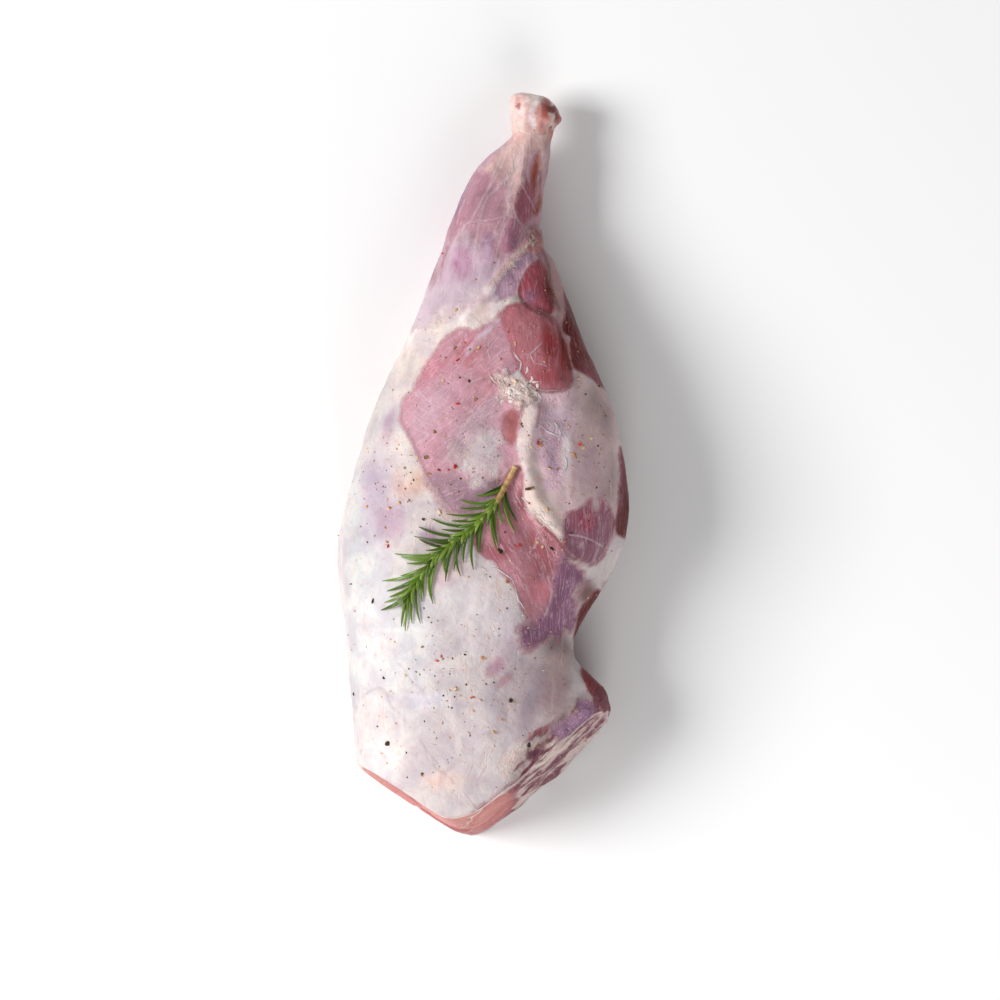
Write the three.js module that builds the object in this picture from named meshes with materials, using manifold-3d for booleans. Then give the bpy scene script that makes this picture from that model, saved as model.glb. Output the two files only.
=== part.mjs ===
// A raw, bone-in leg of lamb that lies on its flat side, with cracked pepper and a rosemary sprig on top.
// Millimetres, +Z up. The shank points along +Y and the cut butt end along -Y. The origin is under the
// middle of the leg's outline, on the plane that the leg rests on.
import * as THREE from "three";
import { mergeVertices } from "three/addons/utils/BufferGeometryUtils.js";
import Module from "manifold-3d";

const wasm = await Module();
wasm.setup();

// Sizes of the grids and the gaps between neighbours.
const LEG_RINGS = 58;
const LEG_COLUMNS = 58;
const CUT_RINGS = 5;
const CROWDING = 0.35; // share by which the columns crowd towards the crest
const BONE_RINGS = 16;
const BONE_COLUMNS = 18;
const BONE_GAP = 0.3;
const SPRIG_GAP = 0.5;

// Cross-sections of the leg from the shank to the butt, in millimetres: the outline's left and right edges,
// the crest's place across, its height, the height of the widest line, the underside's height (below zero
// it is pressed flat), and how far the lower muscle on the right stands out beyond the upper one.
const SECTIONS = [
  [191, 13.4, 40.6, 27.0, 34.6, 23, 11.2, 0],
  [186, 11.6, 39.4, 26.0, 35.8, 23, 10.0, 0],
  [176, 3.6, 37.2, 23.5, 37.5, 23, 8.5, 0],
  [162, -7.6, 34.4, 17.0, 41.0, 23, 5.5, 0],
  [145, -15.7, 31.8, 11.0, 46.0, 24, 2.0, 0],
  [125, -22.8, 31.6, 8.5, 52.0, 26, -1.5, 0],
  [116, -26.0, 37.2, 8.5, 54.5, 27, -3.0, 0],
  [92, -35.0, 46.5, 8.5, 62.0, 29, -4.0, 0],
  [67, -44.8, 56.0, 8.5, 71.0, 32, -4.5, 1.0],
  [36, -59.9, 69.7, 5.6, 81.0, 34, -5.0, 2.5],
  [8, -69.2, 76.7, 2.8, 87.0, 35, -5.0, 4.0],
  [-20, -76.7, 80.4, 0.0, 90.0, 36, -5.0, 5.5],
  [-42, -81.6, 78.4, -2.0, 90.5, 36, -5.0, 6.5],
  [-67, -81.0, 67.2, -5.0, 89.0, 36, -5.0, 10.0],
  [-92, -77.8, 52.0, -8.0, 86.5, 35, -5.0, 4.0],
  [-108, -76.4, 49.8, -10.0, 84.0, 34, -5.0, 0.5],
  [-118, -75.9, 59.4, -11.0, 82.0, 33, -5.0, 5.5],
  [-127, -74.9, 67.8, -12.0, 80.0, 32, -5.0, 7.0],
  [-139, -73.9, 70.0, -13.0, 77.5, 31, -5.0, 1.5],
  [-166, -71.7, 66.0, -14.0, 71.0, 29, -5.0, 0],
  [-188, -68.0, 58.0, -14.0, 65.0, 27, -5.0, 0],
  [-220, -62.0, 46.0, -14.0, 57.0, 25, -5.0, 0],
];
const SECTION_KEYS = ["y", "left", "right", "crest", "top", "belly", "under", "shelf"];
const STATIONS = SECTIONS.map((row) => Object.fromEntries(row.map((v, i) => [SECTION_KEYS[i], v])));

// Fullness of the section's four quarters, as superellipse powers: 2 is an ellipse, more is boxier.
const TOP_LEFT_POWER = 2.25;
const TOP_RIGHT_POWER = 2.15;
const BUTT_RIGHT_POWER = 1.7; // the trimmed edge at the butt slopes off flatter
const BUTT_FROM = -95;
const BUTT_TO = -135;
const UNDER_POWER = 2.9;
const SHELF_HEIGHT = 47; // height of the step between the upper and the lower muscle
const SHELF_SOFTNESS = 9;

// The butt is trimmed by three knife cuts. Each line in plan is y = at + slope * (x - from), and the face
// leans back by lean millimetres for each millimetre of height.
const KNIFE_CUTS = [
  { at: -174.6, from: -67.8, slope: -0.667, lean: 0.13 },
  { at: -213.5, from: -12.3, slope: 0.23, lean: 0.3 },
  { at: -204.6, from: 6.7, slope: 0.88, lean: 0.34 },
];
const CUT_ROUNDING = 2.5;
const CUT_GRAIN = { rise: 0.7, wave: 17 };
const SLEEVE = { waves: 3, rise: 1.6 }; // ragged edge of the tissue round the bone
const SHANK_START = 189;

// Raised muscles and fat masses on the upper side: centre, half length and half width, turn of the long
// axis from +Y towards +X in degrees, and rise.
const MOUNDS = {
  calfOuter: { at: [-9.5, 140], half: [29, 9], turn: 25, rise: 2.2 },
  calfInner: { at: [6.7, 134], half: [27, 7], turn: 14, rise: 1.3 },
  tendonKnot: { at: [29, 124.6], half: [8, 6], turn: 20, rise: 2.2 },
  heelOval: { at: [30.8, 101], half: [18, 9.5], turn: -5, rise: 2.6 },
  thighBulge: { at: [35, 64], half: [28, 19], turn: -22, rise: 4.2 },
  thighPink: { at: [-25, 39], half: [44, 19], turn: 30, rise: 1.8 },
  fatKnot: { at: [18.5, 35], half: [10, 8], turn: 0, rise: 2.0 },
  kneeMuscle: { at: [60, 52], half: [22, 8], turn: -20, rise: 2.0 },
  coverRight: { at: [55, -8], half: [46, 21], turn: -8, rise: 2.6 },
  purpleEnd: { at: [57, -38], half: [15, 13], turn: 0, rise: 1.4 },
  rump: { at: [-42, -70], half: [92, 40], turn: 0, rise: 3.2 },
  buttFat: { at: [-14, -143], half: [48, 36], turn: 0, rise: 1.8 },
  flap: { at: [57, -134], half: [15, 10], turn: 40, rise: 3.0 },
};

// Tendons and fat edges (rise above zero) and creases (below zero) along paths on the upper side.
const LINES = {
  shinTendon: { path: [[26, 190], [20.7, 168], [16, 140], [12, 120]], half: 3, rise: 1.3 },
  shinEdge: { path: [[35, 182], [31, 154], [29.5, 134]], half: 3, rise: 1.0 },
  heelTendon: { path: [[28, 123], [14, 110], [2.8, 96], [-9.5, 80]], half: 3, rise: 1.7 },
  sideBand: { path: [[38, 117], [43, 92], [50, 67]], half: 3, rise: 1.4 },
  heelCrease: { path: [[19, 92], [28, 87.6], [37, 82], [45.4, 71], [48.5, 47]], half: 3, rise: -2.4 },
  fatRidge: { path: [[28, 29], [23.5, 14], [22, -2], [28, -20], [38, -35], [45.4, -51]], half: 4.5, rise: 3.0 },
  redHollow: { path: [[13, -14], [25, -37], [35, -65], [33.6, -87]], half: 9, rise: -2.8 },
  coverFoot: { path: [[45.4, -53.5], [56, -62], [64, -67]], half: 3.5, rise: -2.2 },
  edgeCrease: {
    path: [[55, -128], [40, -144], [36, -150], [25, -163], [20, -174], [13, -188]],
    half: 4.5,
    rise: -3.4,
  },
  edgeRim: { path: [[64, -147], [49, -163], [34, -178], [15, -193]], half: 4, rise: 1.8 },
};
const RELIEF_FROM = 0.05; // relief grows from this share of the upper half's height
const RELIEF_FULL = 0.4;

// The shank bone's sections from its knuckle to its hidden end: y, centre x, centre z, half width, half height.
const BONE_SECTIONS = [
  [208.2, 26.4, 23.0, 6.5, 5.0],
  [205.8, 26.4, 23.0, 10.6, 8.6],
  [201, 27.4, 23.0, 12.6, 10.6],
  [196, 28.6, 23.0, 13.6, 11.2],
  [190, 27.4, 23.0, 12.4, 10.4],
  [183, 26.2, 23.4, 10.6, 9.4],
  [172, 24.5, 24.0, 9.0, 8.2],
  [150, 21.0, 25.5, 7.8, 7.2],
  [110, 17.0, 31.0, 7.6, 7.6],
  [70, 14.0, 37.0, 8.6, 8.6],
  [45, 12.0, 41.0, 11.5, 11.5],
  [30, 11.0, 43.0, 14.0, 13.0],
  [22, 10.0, 44.0, 9.0, 8.0],
];
const BONE_KEYS = ["y", "x", "z", "wide", "high"];
const BONE_STATIONS = BONE_SECTIONS.map((row) => Object.fromEntries(row.map((v, i) => [BONE_KEYS[i], v])));
const KNUCKLE = { lobes: 2, rise: 1.3, from: 188, full: 199, cleft: 1.6 };

// The rosemary sprig: the stem's path in plan from its cut end to its tip, and its needles in pairs.
const STEM_PATH = [
  [16.8, -1.4],
  [12.3, -10.4],
  [6.2, -21],
  [-3.9, -32.2],
  [-16.8, -42.8],
  [-29.7, -54],
  [-37.5, -65],
  [-43.7, -74.8],
];
const STEM_THICK = 1.7;
const STEM_THIN = 0.8;
const STEM_SIDES = 8;
const STEM_STEPS = 18;
const NEEDLES = {
  pairs: 23,
  from: 0.1, // share of the stem's length that is bare
  shortest: 13,
  longest: 25,
  spread: 30, // degrees from the stem's direction at the root
  bend: 30, // degrees by which a needle bends outwards along its length
  jitter: 14, // degrees
  halfWidth: 1.1,
  halfThick: 0.5,
  steps: 5,
  seed: 12,
};

// Cracked pepper: clusters on the upper side, and the half size of the grains.
const PEPPER_CLUSTERS = [
  { at: [-36, -6], spread: [24, 18], count: 34 },
  { at: [50, 14], spread: [20, 28], count: 32 },
  { at: [-8, -125], spread: [34, 26], count: 46 },
  { at: [22, -46], spread: [22, 20], count: 14 },
  { at: [-10, 52], spread: [34, 34], count: 22 },
  { at: [-46, -52], spread: [20, 34], count: 16 },
  { at: [-30, -165], spread: [24, 12], count: 6 },
];
const PEPPER = { smallest: 0.35, largest: 1.75, shown: 0.95, sunk: 0.35, seed: 5, clear: 2.2 };

const COLOURS = {
  leg: { color: "#dcb9b8", roughness: 0.42 },
  bone: { color: "#ecdcd6", roughness: 0.5 },
  rosemary: { color: "#4f7a2f", roughness: 0.55 },
};

function clamp01(v) {
  return Math.min(1, Math.max(0, v));
}

function smoothstep(from, to, v) {
  const t = clamp01((v - from) / (to - from));
  return t * t * (3 - 2 * t);
}

function signedPower(v, power) {
  return Math.sign(v) * Math.abs(v) ** power;
}

// A repeatable run of numbers from 0 to 1, by a linear congruential generator.
function draws(seed) {
  let state = seed;
  return () => {
    state = (Math.imul(state, 1664525) + 1013904223) >>> 0;
    return state / 2 ** 32;
  };
}

// One value of a table of stations at y, by a smooth curve through the stations.
function along(stations, key, y) {
  const last = stations.length - 1;
  if (y >= stations[0].y) return stations[0][key];
  if (y <= stations[last].y) return stations[last][key];
  let i = 0;
  while (y < stations[i + 1].y) i += 1;
  const slope = (k) => {
    const a = stations[Math.max(k - 1, 0)];
    const b = stations[Math.min(k + 1, last)];
    return (b[key] - a[key]) / (b.y - a.y);
  };
  const p = stations[i];
  const q = stations[i + 1];
  const span = q.y - p.y;
  const t = (y - p.y) / span;
  const t2 = t * t;
  const t3 = t2 * t;
  return (
    (2 * t3 - 3 * t2 + 1) * p[key] +
    (t3 - 2 * t2 + t) * span * slope(i) +
    (3 * t2 - 2 * t3) * q[key] +
    (t3 - t2) * span * slope(i + 1)
  );
}

// Distance in plan from a point to a path of straight pieces.
function pathDistance(x, y, path) {
  let best = Infinity;
  for (let i = 0; i + 1 < path.length; i += 1) {
    const [ax, ay] = path[i];
    const dx = path[i + 1][0] - ax;
    const dy = path[i + 1][1] - ay;
    const t = clamp01(((x - ax) * dx + (y - ay) * dy) / (dx * dx + dy * dy));
    best = Math.min(best, Math.hypot(x - ax - t * dx, y - ay - t * dy));
  }
  return best;
}

// How much an oval mound raises the surface at a point in plan: a smooth dome, nothing outside the oval.
function moundRise(x, y, { at, half, turn, rise }) {
  const a = THREE.MathUtils.degToRad(turn);
  const dx = x - at[0];
  const dy = y - at[1];
  const lengthways = (dx * Math.sin(a) + dy * Math.cos(a)) / half[0];
  const crossways = (dx * Math.cos(a) - dy * Math.sin(a)) / half[1];
  const d2 = lengthways ** 2 + crossways ** 2;
  return d2 >= 1.44 ? 0 : rise * (1 - d2 / 1.44) ** 1.5;
}

function lineRise(x, y, { path, half, rise }) {
  return rise * Math.exp(-((pathDistance(x, y, path) / half) ** 2));
}

function reliefAt(x, y) {
  let sum = 0;
  for (const mound of Object.values(MOUNDS)) sum += moundRise(x, y, mound);
  for (const line of Object.values(LINES)) sum += lineRise(x, y, line);
  return sum;
}

// The plain section at y: a closed curve of four superellipse quarters, at an angle from the right edge.
function plainPoint(y, angle) {
  const at = (key) => along(STATIONS, key, y);
  const c = Math.cos(angle);
  const s = Math.sin(angle);
  const butt = smoothstep(BUTT_FROM, BUTT_TO, y);
  const rightPower = THREE.MathUtils.lerp(TOP_RIGHT_POWER, BUTT_RIGHT_POWER, butt);
  const power = s < 0 ? UNDER_POWER : c < 0 ? TOP_LEFT_POWER : rightPower;
  const shelf = Math.max(at("shelf"), 0);
  const reach = c > 0 ? at("right") - shelf - at("crest") : at("crest") - at("left");
  const height = s > 0 ? at("top") - at("belly") : at("belly") - at("under");
  const z = at("belly") + height * signedPower(s, 2 / power);
  const below = 1 - smoothstep(SHELF_HEIGHT - SHELF_SOFTNESS, SHELF_HEIGHT + SHELF_SOFTNESS, z);
  const x = at("crest") + reach * signedPower(c, 2 / power) + (c > 0 ? shelf * below * Math.sqrt(c) : 0);
  return [x, z];
}

// A point of the leg's skin: the plain section, moved out along its normal by the relief, flat below zero.
function skinPoint(y, angle) {
  const step = 0.02;
  const [x, z] = plainPoint(y, angle);
  const [x0, z0] = plainPoint(y, angle - step);
  const [x1, z1] = plainPoint(y, angle + step);
  const length = Math.hypot(x1 - x0, z1 - z0) || 1;
  const share = Math.max(Math.sin(angle), 0);
  const lift = reliefAt(x, y) * smoothstep(RELIEF_FROM, RELIEF_FULL, share);
  return [x + (lift * (z1 - z0)) / length, Math.max(z - (lift * (x1 - x0)) / length, 0)];
}

// Where the knife leaves the butt at (x, z): the highest of the three faces, with slightly rounded corners.
function cutDepth(x, z) {
  const faces = KNIFE_CUTS.map(({ at, from, slope, lean }) => at + slope * (x - from) + lean * z);
  const top = Math.max(...faces);
  const soft = faces.reduce((sum, f) => sum + Math.exp((f - top) / CUT_ROUNDING), 0);
  const grain = Math.sin(x / CUT_GRAIN.wave + 2 * Math.cos(z / CUT_GRAIN.wave));
  return top + CUT_ROUNDING * Math.log(soft) + CUT_GRAIN.rise * grain;
}

// The y at which a column of the skin meets the knife cuts.
function columnEnd(angle) {
  let y = STATIONS[STATIONS.length - 1].y / 2;
  for (let i = 0; i < 24; i += 1) {
    const [x, z] = skinPoint(y, angle);
    y = THREE.MathUtils.lerp(y, cutDepth(x, z), 0.6);
  }
  return y;
}

// Rings of points, closed by a point at each end, as one geometry. Rings run with +Y behind them.
function skinOf(rings, startPoint, endPoint) {
  const columns = rings[0].length;
  const vertices = [startPoint, ...rings.flat(), endPoint];
  const index = [];
  const id = (r, c) => 1 + r * columns + (c % columns);
  for (let c = 0; c < columns; c += 1) {
    index.push(0, id(0, c + 1), id(0, c));
    index.push(vertices.length - 1, id(rings.length - 1, c), id(rings.length - 1, c + 1));
    for (let r = 0; r + 1 < rings.length; r += 1) {
      index.push(id(r, c), id(r, c + 1), id(r + 1, c));
      index.push(id(r, c + 1), id(r + 1, c + 1), id(r + 1, c));
    }
  }
  const geometry = new THREE.BufferGeometry();
  geometry.setAttribute("position", new THREE.Float32BufferAttribute(vertices.flat(), 3));
  geometry.setIndex(index);
  return geometry;
}

function solidOf(geometry) {
  const bare = geometry.clone();
  bare.deleteAttribute("normal");
  bare.deleteAttribute("uv");
  const merged = mergeVertices(bare, 1e-3);
  return new wasm.Manifold(
    new wasm.Mesh({
      numProp: 3,
      vertProperties: merged.getAttribute("position").array,
      triVerts: new Uint32Array(merged.index.array),
    }),
  );
}

function geometryOf(solid) {
  const mesh = solid.getMesh();
  const geometry = new THREE.BufferGeometry();
  geometry.setAttribute("position", new THREE.Float32BufferAttribute(mesh.vertProperties, 3));
  geometry.setIndex(new THREE.Uint32BufferAttribute(mesh.triVerts, 1));
  geometry.computeVertexNormals();
  return geometry;
}

// The meat and fat of the leg as a closed skin, before the bone's channel is cut.
function legGeometry() {
  const columns = Array.from({ length: LEG_COLUMNS }, (_, c) => {
    const even = (2 * Math.PI * c) / LEG_COLUMNS;
    const angle = even + CROWDING * Math.cos(even);
    const start = SHANK_START + SLEEVE.rise * Math.sin(SLEEVE.waves * angle + 1);
    const end = columnEnd(angle);
    return { angle, start, end };
  });
  const rings = Array.from({ length: LEG_RINGS + 1 }, (_, r) =>
    columns.map(({ angle, start, end }) => {
      const y = THREE.MathUtils.lerp(start, end, r / LEG_RINGS);
      const [x, z] = skinPoint(y, angle);
      return [x, y, z];
    }),
  );
  const edge = rings[LEG_RINGS];
  const middle = [0, 0, 0].map((_, k) => edge.reduce((sum, p) => sum + p[k], 0) / edge.length);
  const onCut = (x, z) => [x, cutDepth(x, z), z];
  for (let r = 1; r < CUT_RINGS; r += 1) {
    const t = r / CUT_RINGS;
    const { lerp } = THREE.MathUtils;
    rings.push(edge.map((p) => onCut(lerp(p[0], middle[0], t), lerp(p[2], middle[2], t))));
  }
  const startZ = along(STATIONS, "belly", SHANK_START);
  const startPoint = [along(STATIONS, "crest", SHANK_START), SHANK_START - 2, startZ];
  return skinOf(rings, startPoint, onCut(middle[0], middle[2]));
}

// The shank bone: a two-lobed knuckle on a shaft that runs inside the meat to a plain hidden head.
function boneGeometry(gap) {
  const first = BONE_STATIONS[0].y;
  const last = BONE_STATIONS[BONE_STATIONS.length - 1].y;
  const at = (key, y) => along(BONE_STATIONS, key, y);
  const rings = Array.from({ length: BONE_RINGS + 1 }, (_, r) => {
    const y = THREE.MathUtils.lerp(first + gap, last - gap, (r / BONE_RINGS) ** 1.6);
    const lobed = smoothstep(KNUCKLE.from, KNUCKLE.full, y);
    return Array.from({ length: BONE_COLUMNS }, (_, c) => {
      const angle = (2 * Math.PI * c) / BONE_COLUMNS;
      const lobe = 1 + 0.07 * lobed * Math.cos(KNUCKLE.lobes * angle) * KNUCKLE.rise;
      const slant = lobed * (c === 0 ? 0 : 0.18) * Math.cos(angle) * -at("wide", y);
      const x = at("x", y) + (at("wide", y) + gap) * Math.cos(angle) * lobe;
      const z = at("z", y) + (at("high", y) + gap) * Math.sin(angle);
      return [x, y + slant, z];
    });
  });
  const tip = [at("x", first), first + gap - KNUCKLE.cleft, at("z", first)];
  const head = [at("x", last), last - gap - 2, at("z", last)];
  return skinOf(rings, tip, head);
}

// A lookup of the leg's upper surface: height at a point in plan.
function groundOf(geometry) {
  const mesh = new THREE.Mesh(geometry);
  const down = new THREE.Vector3(0, 0, -1);
  const caster = new THREE.Raycaster();
  return (x, y) => {
    caster.set(new THREE.Vector3(x, y, 500), down);
    const hits = caster.intersectObject(mesh);
    return hits.length ? hits[0].point.z : 0;
  };
}

// One needle: a thin lens-shaped blade along a spine, pointed at its tip.
function needleGeometry(spine, sideways) {
  const { halfWidth, halfThick } = NEEDLES;
  const rings = spine.slice(1, -1).map((p, i) => {
    const t = (i + 1) / (spine.length - 1);
    const swell = Math.sqrt(Math.sin(Math.PI * Math.min(0.25 + 0.75 * t, 0.93)));
    const [w, h] = [halfWidth * swell, halfThick * swell];
    const [sx, sy] = sideways;
    return [
      [p[0] + w * sx, p[1] + w * sy, p[2]],
      [p[0], p[1], p[2] + h],
      [p[0] - w * sx, p[1] - w * sy, p[2]],
      [p[0], p[1], p[2] - h],
    ];
  });
  return skinOf(rings, spine[0], spine[spine.length - 1]);
}

// The needles' spines: one on each side of the stem at every place, every other one lifted off the ground.
function needleSpines(stem, ground) {
  const { pairs, from, shortest, longest, spread, bend, jitter, halfThick, steps, seed } = NEEDLES;
  const { degToRad, lerp } = THREE.MathUtils;
  const draw = draws(seed);
  const spines = [];
  for (let i = 0; i < 2 * pairs; i += 1) {
    const side = i % 2 ? 1 : -1;
    const share = Math.min((i + 1.4 * draw()) / (2 * pairs), 1);
    const root = stem.getPointAt(lerp(from, 0.985, share));
    const ahead = stem.getTangentAt(lerp(from, 0.985, share));
    const closing = 1 - 0.5 * share ** 4;
    const heading = Math.atan2(ahead.y, ahead.x);
    const start = degToRad(spread + jitter * (draw() - 0.5)) * closing;
    const turn = degToRad(bend + 2 * jitter * (draw() - 0.5)) * closing;
    const reach = lerp(shortest, longest, draw()) / steps;
    const lifted = 4 * draw() ** 2;
    let [x, y] = [root.x, root.y];
    const spine = [[x, y, root.z]];
    for (let k = 1; k <= steps; k += 1) {
      const t = k / steps;
      const way = heading + side * (start + turn * (t - 0.5 / steps));
      x += reach * Math.cos(way);
      y += reach * Math.sin(way);
      const low = ground(x, y) + halfThick + SPRIG_GAP;
      const free = root.z + lifted * Math.sin(0.8 * Math.PI * t);
      spine.push([x, y, Math.max(low, lerp(free, low, t))]);
    }
    const across = heading + side * (start + turn / 2) + Math.PI / 2;
    spines.push({ spine, sideways: [Math.cos(across), Math.sin(across)] });
  }
  return spines;
}

function stemCurve(ground) {
  const lift = STEM_THICK + SPRIG_GAP;
  return new THREE.CatmullRomCurve3(
    STEM_PATH.map(([x, y], i) => {
      const settled = 0.6 * (i / (STEM_PATH.length - 1));
      return new THREE.Vector3(x, y, ground(x, y) + lift - settled);
    }),
  );
}

// The stem as a tube that thins towards its tip, closed at both ends.
function stemGeometry(stem) {
  const rings = Array.from({ length: STEM_STEPS + 1 }, (_, r) => {
    const t = r / STEM_STEPS;
    const p = stem.getPointAt(t);
    const ahead = stem.getTangentAt(t);
    const side = new THREE.Vector3(-ahead.y, ahead.x, 0).normalize();
    const up = new THREE.Vector3().crossVectors(ahead, side).normalize();
    const radius = THREE.MathUtils.lerp(STEM_THICK, STEM_THIN, t);
    return Array.from({ length: STEM_SIDES }, (_, c) => {
      const angle = (2 * Math.PI * c) / STEM_SIDES;
      const q = p.clone().addScaledVector(side, radius * Math.cos(angle));
      return q.addScaledVector(up, radius * Math.sin(angle)).toArray();
    });
  });
  return skinOf(rings, stem.getPointAt(0).toArray(), stem.getPointAt(1).toArray());
}

function sprigSolid(stem, spines) {
  let solid = solidOf(stemGeometry(stem));
  for (const { spine, sideways } of spines) solid = solid.add(solidOf(needleGeometry(spine, sideways)));
  return solid;
}

// The larger grains of cracked pepper, each a rough, squashed icosahedron part sunk in the surface.
function pepperGrains(ground, sprigPoints) {
  const draw = draws(PEPPER.seed);
  const scatter = () => draw() + draw() + draw() - 1.5;
  const grains = [];
  for (const { at, spread, count } of PEPPER_CLUSTERS) {
    for (let i = 0; i < count; i += 1) {
      const x = at[0] + spread[0] * 1.4 * scatter();
      const y = at[1] + spread[1] * 1.4 * scatter();
      const size = PEPPER.smallest + (PEPPER.largest - PEPPER.smallest) * draw() ** 2;
      const [flat, long, turn] = [0.6 + 0.3 * draw(), 1 + 0.4 * draw(), 2 * Math.PI * draw()];
      const z = ground(x, y);
      const clear = sprigPoints.every((p) => Math.hypot(p[0] - x, p[1] - y) > size + PEPPER.clear);
      const placed = z > 0 && size > PEPPER.shown && clear;
      if (!placed) continue;
      const grain = new THREE.IcosahedronGeometry(size, 0);
      grain.scale(long, 1, flat).rotateX(0.5 * turn).rotateZ(turn);
      grain.translate(x, y, z + size * flat * (1 - 2 * PEPPER.sunk));
      grains.push(grain);
    }
  }
  return grains;
}

// Points along every needle, close enough together that a grain between two of them is seen.
function pointsOf(spines) {
  return spines.flatMap(({ spine }) =>
    spine.flatMap((p, i) => {
      const q = spine[Math.min(i + 1, spine.length - 1)];
      return [p, [(p[0] + q[0]) / 2, (p[1] + q[1]) / 2]];
    }),
  );
}

function named(name, geometry, look) {
  const material = new THREE.MeshStandardMaterial({ ...look, metalness: 0 });
  const mesh = new THREE.Mesh(geometry, material);
  mesh.name = name;
  return mesh;
}

const bareLeg = legGeometry();
const ground = groundOf(bareLeg);
const stem = stemCurve(ground);
const spines = needleSpines(stem, ground);
const sprig = sprigSolid(stem, spines);
const grains = pepperGrains(ground, pointsOf(spines));
const seasoned = grains.reduce((solid, grain) => solid.add(solidOf(grain)), solidOf(bareLeg));
const leg = seasoned.subtract(solidOf(boneGeometry(BONE_GAP)));

const lamb = new THREE.Group();
lamb.add(named("leg", geometryOf(leg), COLOURS.leg));
lamb.add(named("shank_bone", boneGeometry(0), COLOURS.bone));
lamb.add(named("rosemary_sprig", geometryOf(sprig), COLOURS.rosemary));

export default lamb;
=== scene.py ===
"""Dresses a raw, bone-in leg of lamb with its fat cover, shank bone, rosemary and cracked pepper.

Lengths are millimetres in the leg's own frame, +Y towards the shank and +Z up, until a mesh is written in
metres. Outlines and paths are plan positions on the leg's skin. Colours are sRGB hex values.
"""

import logging
import math
from dataclasses import dataclass
from enum import Enum
from functools import partial
from typing import Any, Sequence

import bmesh
import bpy
import numpy as np
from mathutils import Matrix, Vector
from mathutils.bvhtree import BVHTree


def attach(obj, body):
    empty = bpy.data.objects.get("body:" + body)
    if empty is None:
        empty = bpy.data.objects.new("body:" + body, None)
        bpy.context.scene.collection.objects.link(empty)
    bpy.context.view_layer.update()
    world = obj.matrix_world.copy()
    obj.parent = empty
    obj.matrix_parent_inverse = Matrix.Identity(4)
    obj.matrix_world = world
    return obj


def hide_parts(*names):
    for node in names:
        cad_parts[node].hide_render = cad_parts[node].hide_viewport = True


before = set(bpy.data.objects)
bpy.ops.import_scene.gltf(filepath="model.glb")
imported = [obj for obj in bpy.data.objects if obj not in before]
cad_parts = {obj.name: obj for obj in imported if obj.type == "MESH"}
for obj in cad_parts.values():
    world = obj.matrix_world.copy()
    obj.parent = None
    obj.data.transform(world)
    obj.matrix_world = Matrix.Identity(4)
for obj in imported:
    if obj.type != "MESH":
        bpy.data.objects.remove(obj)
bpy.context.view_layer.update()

LOG = logging.getLogger("leg_of_lamb")
MM = 0.001
# The cover's value is this at its fullest over fat, and as far below zero in the middle of a window.
FULL_COVER = 6.0

Array = np.ndarray
Plan = tuple[float, float]
Triple = tuple[float, float, float]
Path = Sequence[Plan]


class Tissue(Enum):
    """What an area of the leg's skin is made of."""

    MEAT = "a window in the fat cover, through which muscle shows"
    FAT = "fat, tendon or skin that lies over the muscle"


class Spice(Enum):
    """The kinds of cracked pepper, by the piece that holds them."""

    BLACK = "pepper_black"
    CREAM = "pepper_cream"
    RED = "pepper_red"


def table(text: str) -> list[list[Any]]:
    """Reads a table that is written as text, one row to a line.

    A line that starts with a space goes on with the row above it.

    Args:
        text: The table.

    Returns:
        Each row's words: names and tones as they stand, numbers, and two numbers with a comma as a pair.
    """
    rows: list[list[Any]] = []
    for line in text.strip("\n").splitlines():
        if line[0] != " ":
            rows.append([])
        for word in line.split():
            if word[0].isalpha() or word[0] == "#":
                rows[-1].append(word)
            else:
                numbers = tuple(map(float, word.split(",")))
                rows[-1].append(numbers if len(numbers) > 1 else numbers[0])
    return rows


def smoothstep(low: float, high: float, value: Array) -> Array:
    """Gives 0 below low and 1 above high, with the cubic 3t^2 - 2t^3 between them."""
    t = np.clip((value - low) / (high - low), 0.0, 1.0)
    return t * t * (3.0 - 2.0 * t)


def mix(a: Any, b: Any, share: Any) -> Any:
    """Gives the straight blend a + (b - a) * share."""
    return a + (b - a) * share


def linear(tone: str) -> Array:
    """Turns an sRGB hex colour into linear light.

    Args:
        tone: The colour as "#rrggbb".

    Returns:
        Three linear values from 0 to 1.
    """
    srgb = np.array([int(tone[i : i + 2], 16) for i in (1, 3, 5)]) / 255.0
    return np.where(srgb <= 0.04045, srgb / 12.92, ((srgb + 0.055) / 1.055) ** 2.4)


def rgba(tone: str) -> tuple[float, ...]:
    """Gives a hex colour as the four linear values that a shader's colour socket takes."""
    return (*map(float, linear(tone)), 1.0)


class Draws:
    """A repeatable run of numbers from 0 to 1, by the same linear congruential generator as the solids."""

    def __init__(self, seed: int) -> None:
        """Starts the run at a seed."""
        self.state = seed

    def __call__(self) -> float:
        """Gives the next number: the state times 1664525 plus 1013904223, kept to 32 bits."""
        self.state = (self.state * 1664525 + 1013904223) & 0xFFFFFFFF
        return self.state / 2**32


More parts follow.
